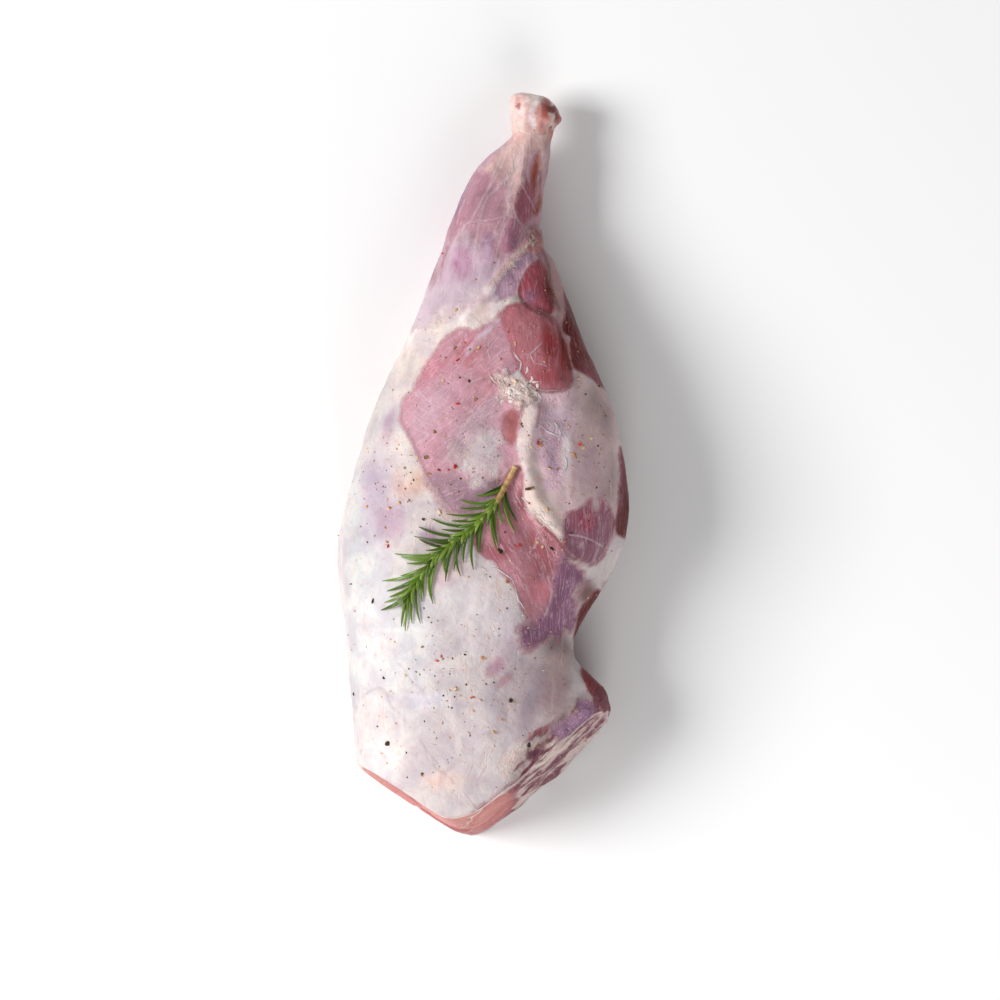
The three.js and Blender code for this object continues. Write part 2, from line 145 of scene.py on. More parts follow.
class Noise:
    """A smooth random field in space, with values from about -1 to 1."""

    CORNERS = [(i, j, k) for i in (0, 1) for j in (0, 1) for k in (0, 1)]
    PRIMES = np.array([73856093, 19349663, 83492791], dtype=np.int64)

    def __init__(self, seed: int) -> None:
        """Fills the table of lattice values from a seed."""
        self.table = np.random.default_rng(seed).uniform(-1.0, 1.0, 8192)

    def lattice(self, cell: Array) -> Array:
        """Gives each lattice point's value: its three whole numbers times three primes, mixed by exclusive
        or, pick one from the table."""
        mixed = cell * self.PRIMES
        return self.table[(mixed[:, 0] ^ mixed[:, 1] ^ mixed[:, 2]) & 8191]

    def at(self, points: Array, size: float | Sequence[float], octaves: int = 1) -> Array:
        """Blends the eight lattice values round each point, for one or more octaves.

        The blend's weights are the cubic 3t^2 - 2t^3 of the place in the cell. Each further octave has half
        the size and half the height.

        Args:
            points: Positions in millimetres, one row each.
            size: The lattice spacing in millimetres, or one for each axis.
            octaves: How many octaves are added.

        Returns:
            One value for each point.
        """
        total, height, spacing = np.zeros(len(points)), 1.0, np.asarray(size, float)
        for _ in range(octaves):
            place = points / spacing
            cell = np.floor(place).astype(np.int64)
            t = place - cell
            t = t * t * (3.0 - 2.0 * t)
            for corner in self.CORNERS:
                weight = np.prod(np.where(corner, t, 1.0 - t), axis=1)
                total += height * weight * self.lattice(cell + np.array(corner))
            spacing, height = spacing / 2.0, height / 2.0
        return total


def smooth_path(points: Sequence[Sequence[float]], steps: int = 6, closed: bool = False) -> Array:
    """Carries a Catmull-Rom curve through points.

    Each stretch between two points b and c, with neighbours a and d, is the cubic
    b + t(c - a)/2 + t^2(a - 5b/2 + 2c - d/2) + t^3(3b/2 - a/2 - 3c/2 + d/2).

    Args:
        points: The points that the curve goes through.
        steps: Straight pieces for each stretch.
        closed: Whether the curve returns to its first point.

    Returns:
        The curve's points, one row each; a closed curve doesn't repeat its first point.
    """
    p = np.asarray(points, float)
    if closed:
        padded = np.vstack([p[-1:], p, p[:2]])
    else:
        padded = np.vstack([2 * p[0] - p[1], p, 2 * p[-1] - p[-2]])
    a, b, c, d = (padded[i : len(padded) - 3 + i, None, :] for i in range(4))
    t = (np.arange(steps) / steps)[None, :, None]
    square = t**2 * (a - 2.5 * b + 2 * c - d / 2)
    curve = b + t * (c - a) / 2 + square + t**3 * (1.5 * b - a / 2 - 1.5 * c + d / 2)
    curve = curve.reshape(-1, p.shape[1])
    return curve if closed else np.vstack([curve, p[-1:]])


def even_path(points: Array, count: int) -> Array:
    """Gives count points at even distances along a path of straight pieces."""
    run = np.concatenate([[0.0], np.cumsum(np.linalg.norm(np.diff(points, axis=0), axis=1))])
    at = np.linspace(0.0, run[-1], count)
    return np.stack([np.interp(at, run, column) for column in points.T], axis=1)


def nearest_on(points: Array, start: Array, end: Array) -> tuple[Array, Array, Array]:
    """Finds each point's nearest place on a set of straight pieces.

    The foot of the perpendicular on each piece is held between its ends, and the nearest foot wins. The side
    is the sign of the cross product of the piece and the way to the point.

    Args:
        points: Plan positions, one row each.
        start: Where each straight piece starts.
        end: Where each straight piece ends.

    Returns:
        The distance, the place as a count of pieces from the first one's start, and the side, 1 or -1.
    """
    along = end - start
    offset = points[:, None, :] - start[None]
    length2 = np.maximum((along**2).sum(1), 1e-9)
    t = np.clip((offset * along[None]).sum(2) / length2, 0.0, 1.0)
    away = ((offset - t[..., None] * along[None]) ** 2).sum(2)
    best = away.argmin(1)
    row = np.arange(len(points))
    cross = along[best, 0] * offset[row, best, 1] - along[best, 1] * offset[row, best, 0]
    return np.sqrt(away[row, best]), best + t[row, best], np.where(cross < 0, -1.0, 1.0)


def enclosed(points: Array, start: Array, end: Array) -> Array:
    """Says which points a closed outline holds: those from which a line to the right crosses it an odd
    number of times."""
    x, y = points[:, None, 0], points[:, None, 1]
    crosses = (start[None, :, 1] > y) != (end[None, :, 1] > y)
    rise = np.where(end[:, 1] == start[:, 1], 1e-9, end[:, 1] - start[:, 1])
    at = start[None, :, 0] + (y - start[None, :, 1]) * ((end[:, 0] - start[:, 0]) / rise)[None]
    return (crosses & (x < at)).sum(1) % 2 == 1


def depth_inside(points: Array, outline: Path, reach: float = 14.0) -> Array:
    """Gives how deep each point lies inside a smooth closed outline, negative outside it.

    Args:
        points: Plan positions, one row each.
        outline: The points that the closed curve goes through.
        reach: The distance past which a point outside counts as being that far away.

    Returns:
        Millimetres for each point.
    """
    start = smooth_path(outline, steps=4, closed=True)
    end = np.roll(start, -1, axis=0)
    near = ((points > start.min(0) - reach) & (points < start.max(0) + reach)).all(1)
    depth = np.full(len(points), -reach)
    close = points[near]
    if len(close):
        away = nearest_on(close, start, end)[0]
        depth[near] = np.maximum(np.where(enclosed(close, start, end), away, -away), -reach)
    return depth


def oval_distance(points: Array, at: Plan, half: Plan, turn: float) -> Array:
    """Gives the distance from an oval's centre as a share of its half sizes: 1 on the oval itself.

    The first half size runs along +Y, turned by the given degrees towards +X.
    """
    angle = math.radians(turn)
    dx, dy = points[:, 0] - at[0], points[:, 1] - at[1]
    lengthways = (dx * math.sin(angle) + dy * math.cos(angle)) / half[0]
    crossways = (dx * math.cos(angle) - dy * math.sin(angle)) / half[1]
    return np.hypot(lengthways, crossways)


def tube_faces(rings: int, columns: int) -> Array:
    """Gives the four-sided faces of rings of points, each joined to the next and closed round."""
    r, c = np.meshgrid(np.arange(rings - 1), np.arange(columns), indexing="ij")
    on = (c + 1) % columns
    quads = [r * columns + c, r * columns + on, (r + 1) * columns + on, (r + 1) * columns + c]
    return np.stack(quads, -1).reshape(-1, 4)


def fan_faces(centre: int, ring: Array, inward: bool) -> Array:
    """Gives the triangles from a centre to a closed ring of points."""
    on = np.roll(ring, -1)
    pair = (on, ring) if inward else (ring, on)
    return np.stack([np.full(len(ring), centre), *pair], -1)


class Shape:
    """Points, faces and values that grow piece by piece into one mesh."""

    def __init__(self) -> None:
        """Starts with nothing."""
        self.points: list[Array] = []
        self.faces: list[list[int]] = []
        self.values: dict[str, list[Array]] = {}
        self.count = 0

    def add(self, points: Array, faces: Sequence[Array], **values: Array) -> None:
        """Adds points in millimetres, faces that count from the first of them, and values on them."""
        for group in faces:
            self.faces += (group + self.count).tolist()
        for name, value in values.items():
            self.values.setdefault(name, []).append(np.asarray(value, float))
        self.points.append(points)
        self.count += len(points)

    def tube(self, rings: Array, tips: Array | None = None, **values: Array) -> None:
        """Adds a closed tube: rings of points with a point at each end.

        Args:
            rings: Points as rings, columns and three coordinates.
            tips: The two end points, or none for the middles of the end rings.
            **values: One value for each ring, or for each point of each ring.
        """
        count, columns = rings.shape[:2]
        ends = np.stack([rings[0].mean(0), rings[-1].mean(0)]) if tips is None else tips
        last = count * columns
        faces = [
            tube_faces(count, columns),
            fan_faces(last, np.arange(columns), inward=True),
            fan_faces(last + 1, np.arange(last - columns, last), inward=False),
        ]
        spread = {}
        for name, value in values.items():
            full = np.asarray(value, float)
            if full.shape[:2] != (count, columns):
                full = np.repeat(full[:, None], columns, axis=1)
            flat = full.reshape(last, *full.shape[2:])
            spread[name] = np.concatenate([flat, flat[:1], flat[-1:]])
        self.add(np.vstack([rings.reshape(-1, 3), ends]), faces, **spread)

    def mesh_object(self, name: str, material: bpy.types.Material, smooth: bool = True) -> bpy.types.Object:
        """Writes the shape as a mesh in metres.

        Args:
            name: The object's name.
            material: Its material.
            smooth: Whether its faces are shaded smooth.

        Returns:
            The new object, linked to the scene.
        """
        mesh = bpy.data.meshes.new(name)
        mesh.from_pydata((np.vstack(self.points) * MM).tolist(), [], self.faces)
        for key, parts in self.values.items():
            value = np.concatenate(parts)
            single = value.ndim == 1
            store = mesh.attributes.new(key, "FLOAT" if single else "FLOAT_VECTOR", "POINT")
            store.data.foreach_set("value" if single else "vector", value.ravel())
        if smooth:
            mesh.shade_smooth()
        mesh.materials.append(material)
        mesh.validate()
        made = bpy.data.objects.new(name, mesh)
        bpy.context.scene.collection.objects.link(made)
        return made


def hand_over(piece: bpy.types.Object, slot: str, *nodes: str) -> bpy.types.Object:
    """Makes a piece ride on the body, hides the nodes that it stands for, and logs it."""
    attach(piece, "root")
    if nodes:
        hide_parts(*nodes)
    LOG.info("%s: %d faces", piece.name, len(piece.data.polygons))
    return piece


def node(
    tree: Any, kind: str, inputs: dict[Any, Any] | Sequence[Any] = (), out: Any = 0, **settings: Any
) -> Any:
    """Adds a shader node with its settings, and sets or links its inputs.

    Args:
        tree: The material's node tree.
        kind: The node's type without its "ShaderNode" prefix.
        inputs: A value or an output socket for each socket, by its name or number or in the node's own order.
        out: The output socket to give back, or None for the node itself.
        **settings: Properties of the node itself.

    Returns:
        The named output socket, or the node.
    """
    made = tree.nodes.new("ShaderNode" + kind)
    for key, value in settings.items():
        setattr(made, key, value)
    for key, value in inputs.items() if isinstance(inputs, dict) else enumerate(inputs):
        if isinstance(value, bpy.types.NodeSocket):
            tree.links.new(value, made.inputs[key])
        else:
            made.inputs[key].default_value = value
    return made if out is None else made.outputs[out]


# What a shader node does, by the words that its settings take. A blend of colours takes its share at socket
# 0 and its colours at 6 and 7, and gives the result at 2.
TIMES = {"operation": "MULTIPLY"}
TIMES_PLUS = {"operation": "MULTIPLY_ADD"}
MINUS = {"operation": "SUBTRACT"}
SMOOTH = {"interpolation_type": "SMOOTHSTEP"}
BLEND = {"out": 2, "data_type": "RGBA"}


@dataclass(frozen=True)
class Finish:
    """A material's name and the shader values that are the same all over it."""

    name: str
    roughness: float
    subsurface: float = 0.0
    radius_mm: Triple = (3.0, 1.2, 0.8)
    coat: float = 0.0
    coat_roughness: float = 0.2
    tone: str = "#808080"
    specular: float = 0.5

    def start(self) -> tuple[bpy.types.Material, Any, Any]:
        """Makes the material with its main shader.

        Returns:
            The material, the function that adds a node to it, and its main shader node.
        """
        material = bpy.data.materials.new(self.name)
        material.use_nodes = True
        material.node_tree.nodes.clear()
        add = partial(node, material.node_tree)
        inputs = {
            "Base Color": rgba(self.tone),
            "Roughness": self.roughness,
            "Specular IOR Level": self.specular,
            "Subsurface Weight": self.subsurface,
            "Subsurface Radius": [r * MM for r in self.radius_mm],
            "Subsurface Scale": 1.0,
            "Coat Weight": self.coat,
            "Coat Roughness": self.coat_roughness,
        }
        shader = add("BsdfPrincipled", inputs, out=None)
        add("OutputMaterial", {"Surface": shader.outputs[0]}, out=None)
        return material, add, shader


# The leg's sections from the shank to the butt: y, then the outline's left and right edges, the crest's
# place across, its height, the height of the widest line, the underside's height, and how far the lower
# muscle on the right stands out beyond the upper one.
SECTIONS = np.array(table("""
191 13.4 40.6 27 34.6 23 11.2 0
186 11.6 39.4 26 35.8 23 10 0
176 3.6 37.2 23.5 37.5 23 8.5 0
162 -7.6 34.4 17 41 23 5.5 0
145 -15.7 31.8 11 46 24 2 0
125 -22.8 31.6 8.5 52 26 -1.5 0
116 -26 37.2 8.5 54.5 27 -3 0
92 -35 46.5 8.5 62 29 -4 0
67 -44.8 56 8.5 71 32 -4.5 1
36 -59.9 69.7 5.6 81 34 -5 2.5
8 -69.2 76.7 2.8 87 35 -5 4
-20 -76.7 80.4 0 90 36 -5 5.5
-42 -81.6 78.4 -2 90.5 36 -5 6.5
-67 -81 67.2 -5 89 36 -5 10
-92 -77.8 52 -8 86.5 35 -5 4
-108 -76.4 49.8 -10 84 34 -5 0.5
-118 -75.9 59.4 -11 82 33 -5 5.5
-127 -74.9 67.8 -12 80 32 -5 7
-139 -73.9 70 -13 77.5 31 -5 1.5
-166 -71.7 66 -14 71 29 -5 0
-188 -68 58 -14 65 27 -5 0
-220 -62 46 -14 57 25 -5 0
"""))
TOP_LEFT_POWER, TOP_RIGHT_POWER, BUTT_RIGHT_POWER, UNDER_POWER = 2.25, 2.15, 1.7, 2.9
BUTT_FROM, BUTT_TO = -95.0, -135.0
SHELF_HEIGHT, SHELF_SOFTNESS = 47.0, 9.0
KNIFE_CUTS = [(-174.6, -67.8, -0.667, 0.13), (-213.5, -12.3, 0.23, 0.3), (-204.6, 6.7, 0.88, 0.34)]
CUT_ROUNDING = 2.5

# Raised muscles and fat masses: centre, half length and half width, turn from +Y towards +X, and rise.
MOUNDS = table("""
-9.5,140 29,9 25 2.2
6.7,134 27,7 14 1.3
29,124.6 8,6 20 2.2
30.8,101 18,9.5 -5 2.6
35,64 28,19 -22 4.2
-25,39 44,19 30 1.8
18.5,35 10,8 0 2
60,52 22,8 -20 2
55,-8 46,21 -8 2.6
57,-38 15,13 0 1.4
-42,-70 92,40 0 3.2
-14,-143 48,36 0 1.8
57,-134 15,10 40 3
""")
# Tendons, fat edges and creases: half width, rise (below zero for a crease), then the path.
LINES = table("""
3 1.3 26,190 20.7,168 16,140 12,120
3 1 35,182 31,154 29.5,134
3 1.7 28,123 14,110 2.8,96 -9.5,80
3 1.4 38,117 43,92 50,67
3 -2.4 19,92 28,87.6 37,82 45.4,71 48.5,47
4.5 3 28,29 23.5,14 22,-2 28,-20 38,-35 45.4,-51
9 -2.8 13,-14 25,-37 35,-65 33.6,-87
3.5 -2.2 45.4,-53.5 56,-62 64,-67
4.5 -3.4 55,-128 40,-144 36,-150 25,-163 20,-174 13,-188
4 1.8 64,-147 49,-163 34,-178 15,-193
""")
# The shank bone's sections from its knuckle to its hidden end: y, centre x and z, half width and height.
BONE_SECTIONS = np.array(table("""
208.2 26.4 23 6.5 5
205.8 26.4 23 10.6 8.6
201 27.4 23 12.6 10.6
196 28.6 23 13.6 11.2
190 27.4 23 12.4 10.4
183 26.2 23.4 10.6 9.4
172 24.5 24 9 8.2
150 21 25.5 7.8 7.2
110 17 31 7.6 7.6
70 14 37 8.6 8.6
45 12 41 11.5 11.5
30 11 43 14 13
22 10 44 9 8
"""))


def through(stations: Array, y: Array) -> Array:
    """Reads a table of stations at y, by a smooth curve through them.

    Between two stations it is the cubic Hermite curve whose slope at a station is that of the straight line
    between its two neighbours. Beyond the ends it keeps the end's values.

    Args:
        stations: Rows of y and values, from the largest y to the smallest.
        y: Where it is read.

    Returns:
        One row of values for each y.
    """
    knots, values = stations[:, 0], stations[:, 1:]
    order = np.arange(len(knots))
    before, after = np.maximum(order - 1, 0), np.minimum(order + 1, len(knots) - 1)
    slope = (values[after] - values[before]) / (knots[after] - knots[before])[:, None]
    held = np.clip(y, knots[-1], knots[0])
    i = np.clip(np.searchsorted(-knots, -held, side="right") - 1, 0, len(knots) - 2)
    span = (knots[i + 1] - knots[i])[:, None]
    t = (held - knots[i])[:, None] / span
    t2, t3 = t * t, t * t * t
    ends = (2 * t3 - 3 * t2 + 1) * values[i] + (3 * t2 - 2 * t3) * values[i + 1]
    return ends + span * ((t3 - 2 * t2 + t) * slope[i] + (t3 - t2) * slope[i + 1])


class LegForm:
    """The leg's outer form: sections from the shank to the butt, relief on the upper side, knife cuts."""

    def relief(self, plan: Array) -> Array:
        """Adds the mounds and lines at plan positions.

        A mound is rise * (1 - d^2 / 1.44)^1.5 at d half sizes from its centre, and a line is
        rise * exp(-(d / half width)^2) at distance d from its path.
        """
        lift = np.zeros(len(plan))
        for at, half, turn, rise in MOUNDS:
            d2 = oval_distance(plan, at, half, turn) ** 2
            lift += rise * np.clip(1 - d2 / 1.44, 0, None) ** 1.5
        for half, rise, *path in LINES:
            line = np.array(path, float)
            lift += rise * np.exp(-((nearest_on(plan, line[:-1], line[1:])[0] / half) ** 2))
        return lift

    def plain(self, y: Array, angle: Array) -> tuple[Array, Array]:
        """Gives x and z of the plain section: four superellipse quarters, cos and sin of the angle raised to
        2 over the quarter's power, with the lower muscle's shelf added on the right below its height."""
        left, right, crest, top, belly, under, shelf = through(SECTIONS, y).T
        c, s = np.cos(angle), np.sin(angle)
        right_power = mix(TOP_RIGHT_POWER, BUTT_RIGHT_POWER, smoothstep(BUTT_FROM, BUTT_TO, y))
        power = np.where(s < 0, UNDER_POWER, np.where(c < 0, TOP_LEFT_POWER, right_power))
        shelf = np.maximum(shelf, 0)
        reach = np.where(c > 0, right - shelf - crest, crest - left)
        height = np.where(s > 0, top - belly, belly - under)
        z = belly + height * np.sign(s) * np.abs(s) ** (2 / power)
        below = 1 - smoothstep(SHELF_HEIGHT - SHELF_SOFTNESS, SHELF_HEIGHT + SHELF_SOFTNESS, z)
        step = np.where(c > 0, shelf * below * np.sqrt(np.maximum(c, 0)), 0)
        return crest + reach * np.sign(c) * np.abs(c) ** (2 / power) + step, z

    def skin(self, y: Array, angle: Array) -> Array:
        """Gives points of the skin: the plain section moved out along its normal by the relief, which grows
        from the widest line up, and held above the floor."""
        x, z = self.plain(y, angle)
        x0, z0 = self.plain(y, angle - 0.02)
        x1, z1 = self.plain(y, angle + 0.02)
        length = np.maximum(np.hypot(x1 - x0, z1 - z0), 1e-9)
        share = smoothstep(0.05, 0.4, np.maximum(np.sin(angle), 0))
        lift = self.relief(np.stack([x, y], 1)) * share / length
        return np.stack([x + lift * (z1 - z0), y, np.maximum(z - lift * (x1 - x0), 0)], 1)

    def cut_depth(self, x: Array, z: Array) -> Array:
        """Gives y of the butt's cuts: the highest of three leaning planes, rounded where they meet by the
        logarithm of their summed exponentials, with a slow wave of 0.7 mm."""
        faces = np.stack([at + slope * (x - start) + lean * z for at, start, slope, lean in KNIFE_CUTS])
        top = faces.max(0)
        soft = np.exp((faces - top) / CUT_ROUNDING).sum(0)
        return top + CUT_ROUNDING * np.log(soft) + 0.7 * np.sin(x / 17 + 2 * np.cos(z / 17))

    def column_end(self, angle: Array) -> Array:
        """Finds the y at which each column of the skin meets the cuts, by 24 steps of 0.6 towards it."""
        y = np.full(len(angle), SECTIONS[-1, 0] / 2)
        for _ in range(24):
            x, _, z = self.skin(y, angle).T
            y = mix(y, self.cut_depth(x, z), 0.6)
        return y


@dataclass(frozen=True)
class Patch:
    """An area of one tissue on the skin.

    The edge fades over blur millimetres and is ragged by fray. Muscle fibres run at fibre degrees from +Y
    towards +X, film is the share of silvery membrane that lies on the muscle, veil below 1 makes fat a
    film that opens up in streaks, and torn is how crumpled and torn the area is.
    """

    name: str
    tissue: Tissue
    tone: str
    outline: Path
    blur: float
    fray: float
    torn: float
    fibre: float = 0.0
    film: float = 0.15
    veil: float = 1.0


@dataclass(frozen=True)
class Blush:
    """A soft oval of another tone: centre, half length and half width, tone, turn and strength."""

    tissue: Tissue
    at: Plan
    half: Plan
    tone: str
    turn: float = 0.0
    strength: float = 1.0


@dataclass(frozen=True)
class Strand:
    """A pale sinew in the surface, or a dark crease line of painted shade: its path, half width in
    millimetres and strength from 0 to 1, which is below zero for a crease."""

    path: Path
    half: float
    strength: float


# Windows in the cover that show muscle: name, tone, blur, fray, fibre, film, torn, then the outline. The
# near-black tones of side_dark and notch_dark are painted shade on the leg's right side and in its notch. The
# tones of edge_dark, knee_muscle and flap_red are dark red meat with painted shade added.
WINDOWS = """
shank #b38791 8 4 16 0.6 0 -60,150 -34,172 -4,184 8,184 20,176 30,184 38,186 60,170 70,140 60,119 45,117
 36,118 25,117 14,108 5,96 -3,98 -14,99 -26,97 -40,104 -60,118
shank_low #bfaab3 8 3 16 0.9 0 -46,112 -30,120 -12,117 0,108 4,99 -6,93 -20,87 -33,80 -44,84 -52,98
side_lean #7b3b3c 2 2.5 4 0.3 0 52,100 68,82 84,60 92,36 88,20 84,6 90,-14 88,-40 76,-60 66,-72 60,-88
 58,-104 66,-118 100,-116 130,-84 142,-20 128,40 102,84 70,112
calf_left #a97b89 2.5 0.5 25 0.1 0 6.5,177.5 0,169 -5.5,160.5 -10.5,149.5 -13.5,138.5 -8.5,136 -3,146.5 3,157
 8,167.5
calf_mid #ae828e 1.5 0.5 20 0.1 0 4.5,152 -0.5,144.5 -7,135.5 -1.5,134.5 8.5,135.5 11.5,139.5 10.5,148.5
 8.5,155.5
dark_streak #944b42 1.2 0.5 0 0 0 29.5,176 27.5,167.5 25.5,159 26.5,150 28,153.5 29,162 31,171.5
maroon_oval #9b5b6a 0.8 0.3 -10 0.15 0 22,158 18,150.5 15.5,144.5 17.5,138.5 21,134 25,137.5 27.5,144.5
 25.5,153.5 24,158
shank_purple #a46e82 1.2 0.3 0 0.2 0 15,136.5 12.5,131.5 10,123.5 10.5,117.5 14,118 17.5,123 20,130 19,134.5
lilac_triangle #af8ba2 1 0.3 0 0.5 0 25,118.5 19.5,114.5 13,107.5 7.5,100 5,93 9.5,91.5 15,94 18,98.5
 20,105.5 24,112 28,116
heel_oval #964752 0.7 0.2 -10 0.1 0 29,113 24,109 20,102 18.5,96.5 20,91.5 25,88 30.5,85 35,82.5 38,86
 37.5,94 35,102.5 33.5,109 31,112.5
edge_dark #68292a 0.8 0.4 -10 0.05 0 43.5,100 46,94.5 49,92 60,88 62,74 52,70 45,72.5 43,74.5 43.5,81 44,89.5
thigh_pink #c893a0 1.1 0.5 42 0.42 0 -13.5,74.5 -6,73.5 -0.5,75 6.5,79.5 10,83 14,65.5 16,59.5 18,54 14,50
 6,48 7,43 8.5,37 14,33.5 19.5,31.5 19,24 17,17.5 16,10 17.5,4 18,-4 20,-14 8.5,-16.5 5,-20.5 -1.5,-24.5
 -9,-26.5 -15.5,-26.5 -19.5,-23.5 -24,-16.5 -30.5,-8 -35.5,2.5 -40,13 -45,22.5 -45.5,30 -43,36.5 -39,40
 -36.5,46 -32,54 -26.5,62.5 -21,69.5
thigh_bulge #b46c74 0.8 0.3 -8 0.12 0 18,89 13,87.5 10,83.5 9.5,79 11.5,73 14,65.5 16,59 20,50.5 26.5,42
 33.5,39.5 41.5,40 47.5,43.5 48,50 46.5,58.5 44.5,68 40.5,76.5 36,82.5 30.5,85 25,88
knee_muscle #722c2a 0.8 0.4 -25 0.1 0 48.5,74.5 53.5,72 62,76 84,74 116,56 110,34 90,28 76,34 68,42 64,44
 58.5,48 52.5,51.5 49,54.5 46.5,63 47.5,70
low_purple #a5838f 3 1.5 60 0.3 0 -29,-8 -24,-15 -19.5,-22.5 -12.5,-26.5 -1.5,-24.5 7,-19 8.5,-11 0.5,-10.5
 -10,-10 -19,-8
red_oblong #ad6667 0.9 0.3 0 0 0 14,29.5 10.5,25 9.5,19.5 11,14 14.5,11 16.5,13 17.5,19.5 17.5,27.5
valley #b97c86 0.9 1 -35 0.38 0 19,-1.5 21.5,-7 21,-15.5 22.5,-23 26.5,-28.5 31,-34 36.5,-38.5 42,-43
 43.5,-48.5 42,-56 40,-64 38.5,-73 36.5,-80.5 32.5,-88.5 29.5,-90.5 25,-85.5 20.5,-79.5 18.5,-73.5 16.5,-67
 12,-62.5 9,-60 5,-53.5 0,-50.5 -3.5,-46 -7,-42 -3.5,-32 5,-21 11,-10 15,-3.5
valley_low #8d5f7b 2.4 2 -10 0.4 0 43,-49 48,-55 52.5,-61 51.5,-66.5 46.5,-69.5 47,-74 50,-79 50,-86.5
 47.5,-91.5 42,-91.5 39.5,-94.5 33,-96.5 28,-98 24,-101 20.5,-95 22.5,-90 29.5,-88 35,-81.5 38,-75 40,-64
purple_end #835264 1.2 1.2 -4 0.5 0 44.5,-28.5 51.5,-25 57,-20 59,-25 62,-26 63,-21 65.5,-19.5 67,-22.5
 70,-22.5 71.5,-27.5 71.5,-35.5 69,-41.5 66.5,-47.5 65,-52.5 59.5,-55 53.5,-53.5 48,-50.5 43.5,-45.5 44,-36.5
side_dark #5f201d 0.9 0.5 0 0.05 0 75.5,9 79,3 84,2 100,14 126,8 136,-14 124,-44 98,-52 80,-42 73,-37
 73.5,-26.5 74,-14.5 74.5,-3
notch_dark #60221e 0.9 0.5 10 0.05 0 62,-70 58.5,-74.5 54,-79 51.5,-84.5 49.5,-98 56,-108 80,-104 96,-86
 82,-70 68,-72
flap_red #873134 0.7 0.5 40 0.05 0 53,-115.5 56.5,-112 66,-108 84,-116 96,-132 84,-150 70,-148 65.5,-137
 63,-132 59.5,-128 56.5,-123.5
flap_purple #d8baef 1.8 2.2 40 0.5 0.7 54,-132.5 58,-133.5 58,-141 54.5,-149 50,-153.5 43.5,-156.5 40.5,-152
 36.5,-149 40,-145 45.5,-141.5 50.5,-139
band_purple #68415d 1.6 2.2 40 0.2 0.7 25.5,-159 33,-158.5 40,-163.5 37.5,-168.5 33,-171 28.5,-165
butt_purple #8d6a7a 2 1.8 55 0.3 0.6 25,-182.5 18.5,-179.5 11.5,-183 5,-187.5 -2.5,-191 -7.5,-197 -1,-202.5
 4.5,-204.5 12,-196.5 19,-189
"""
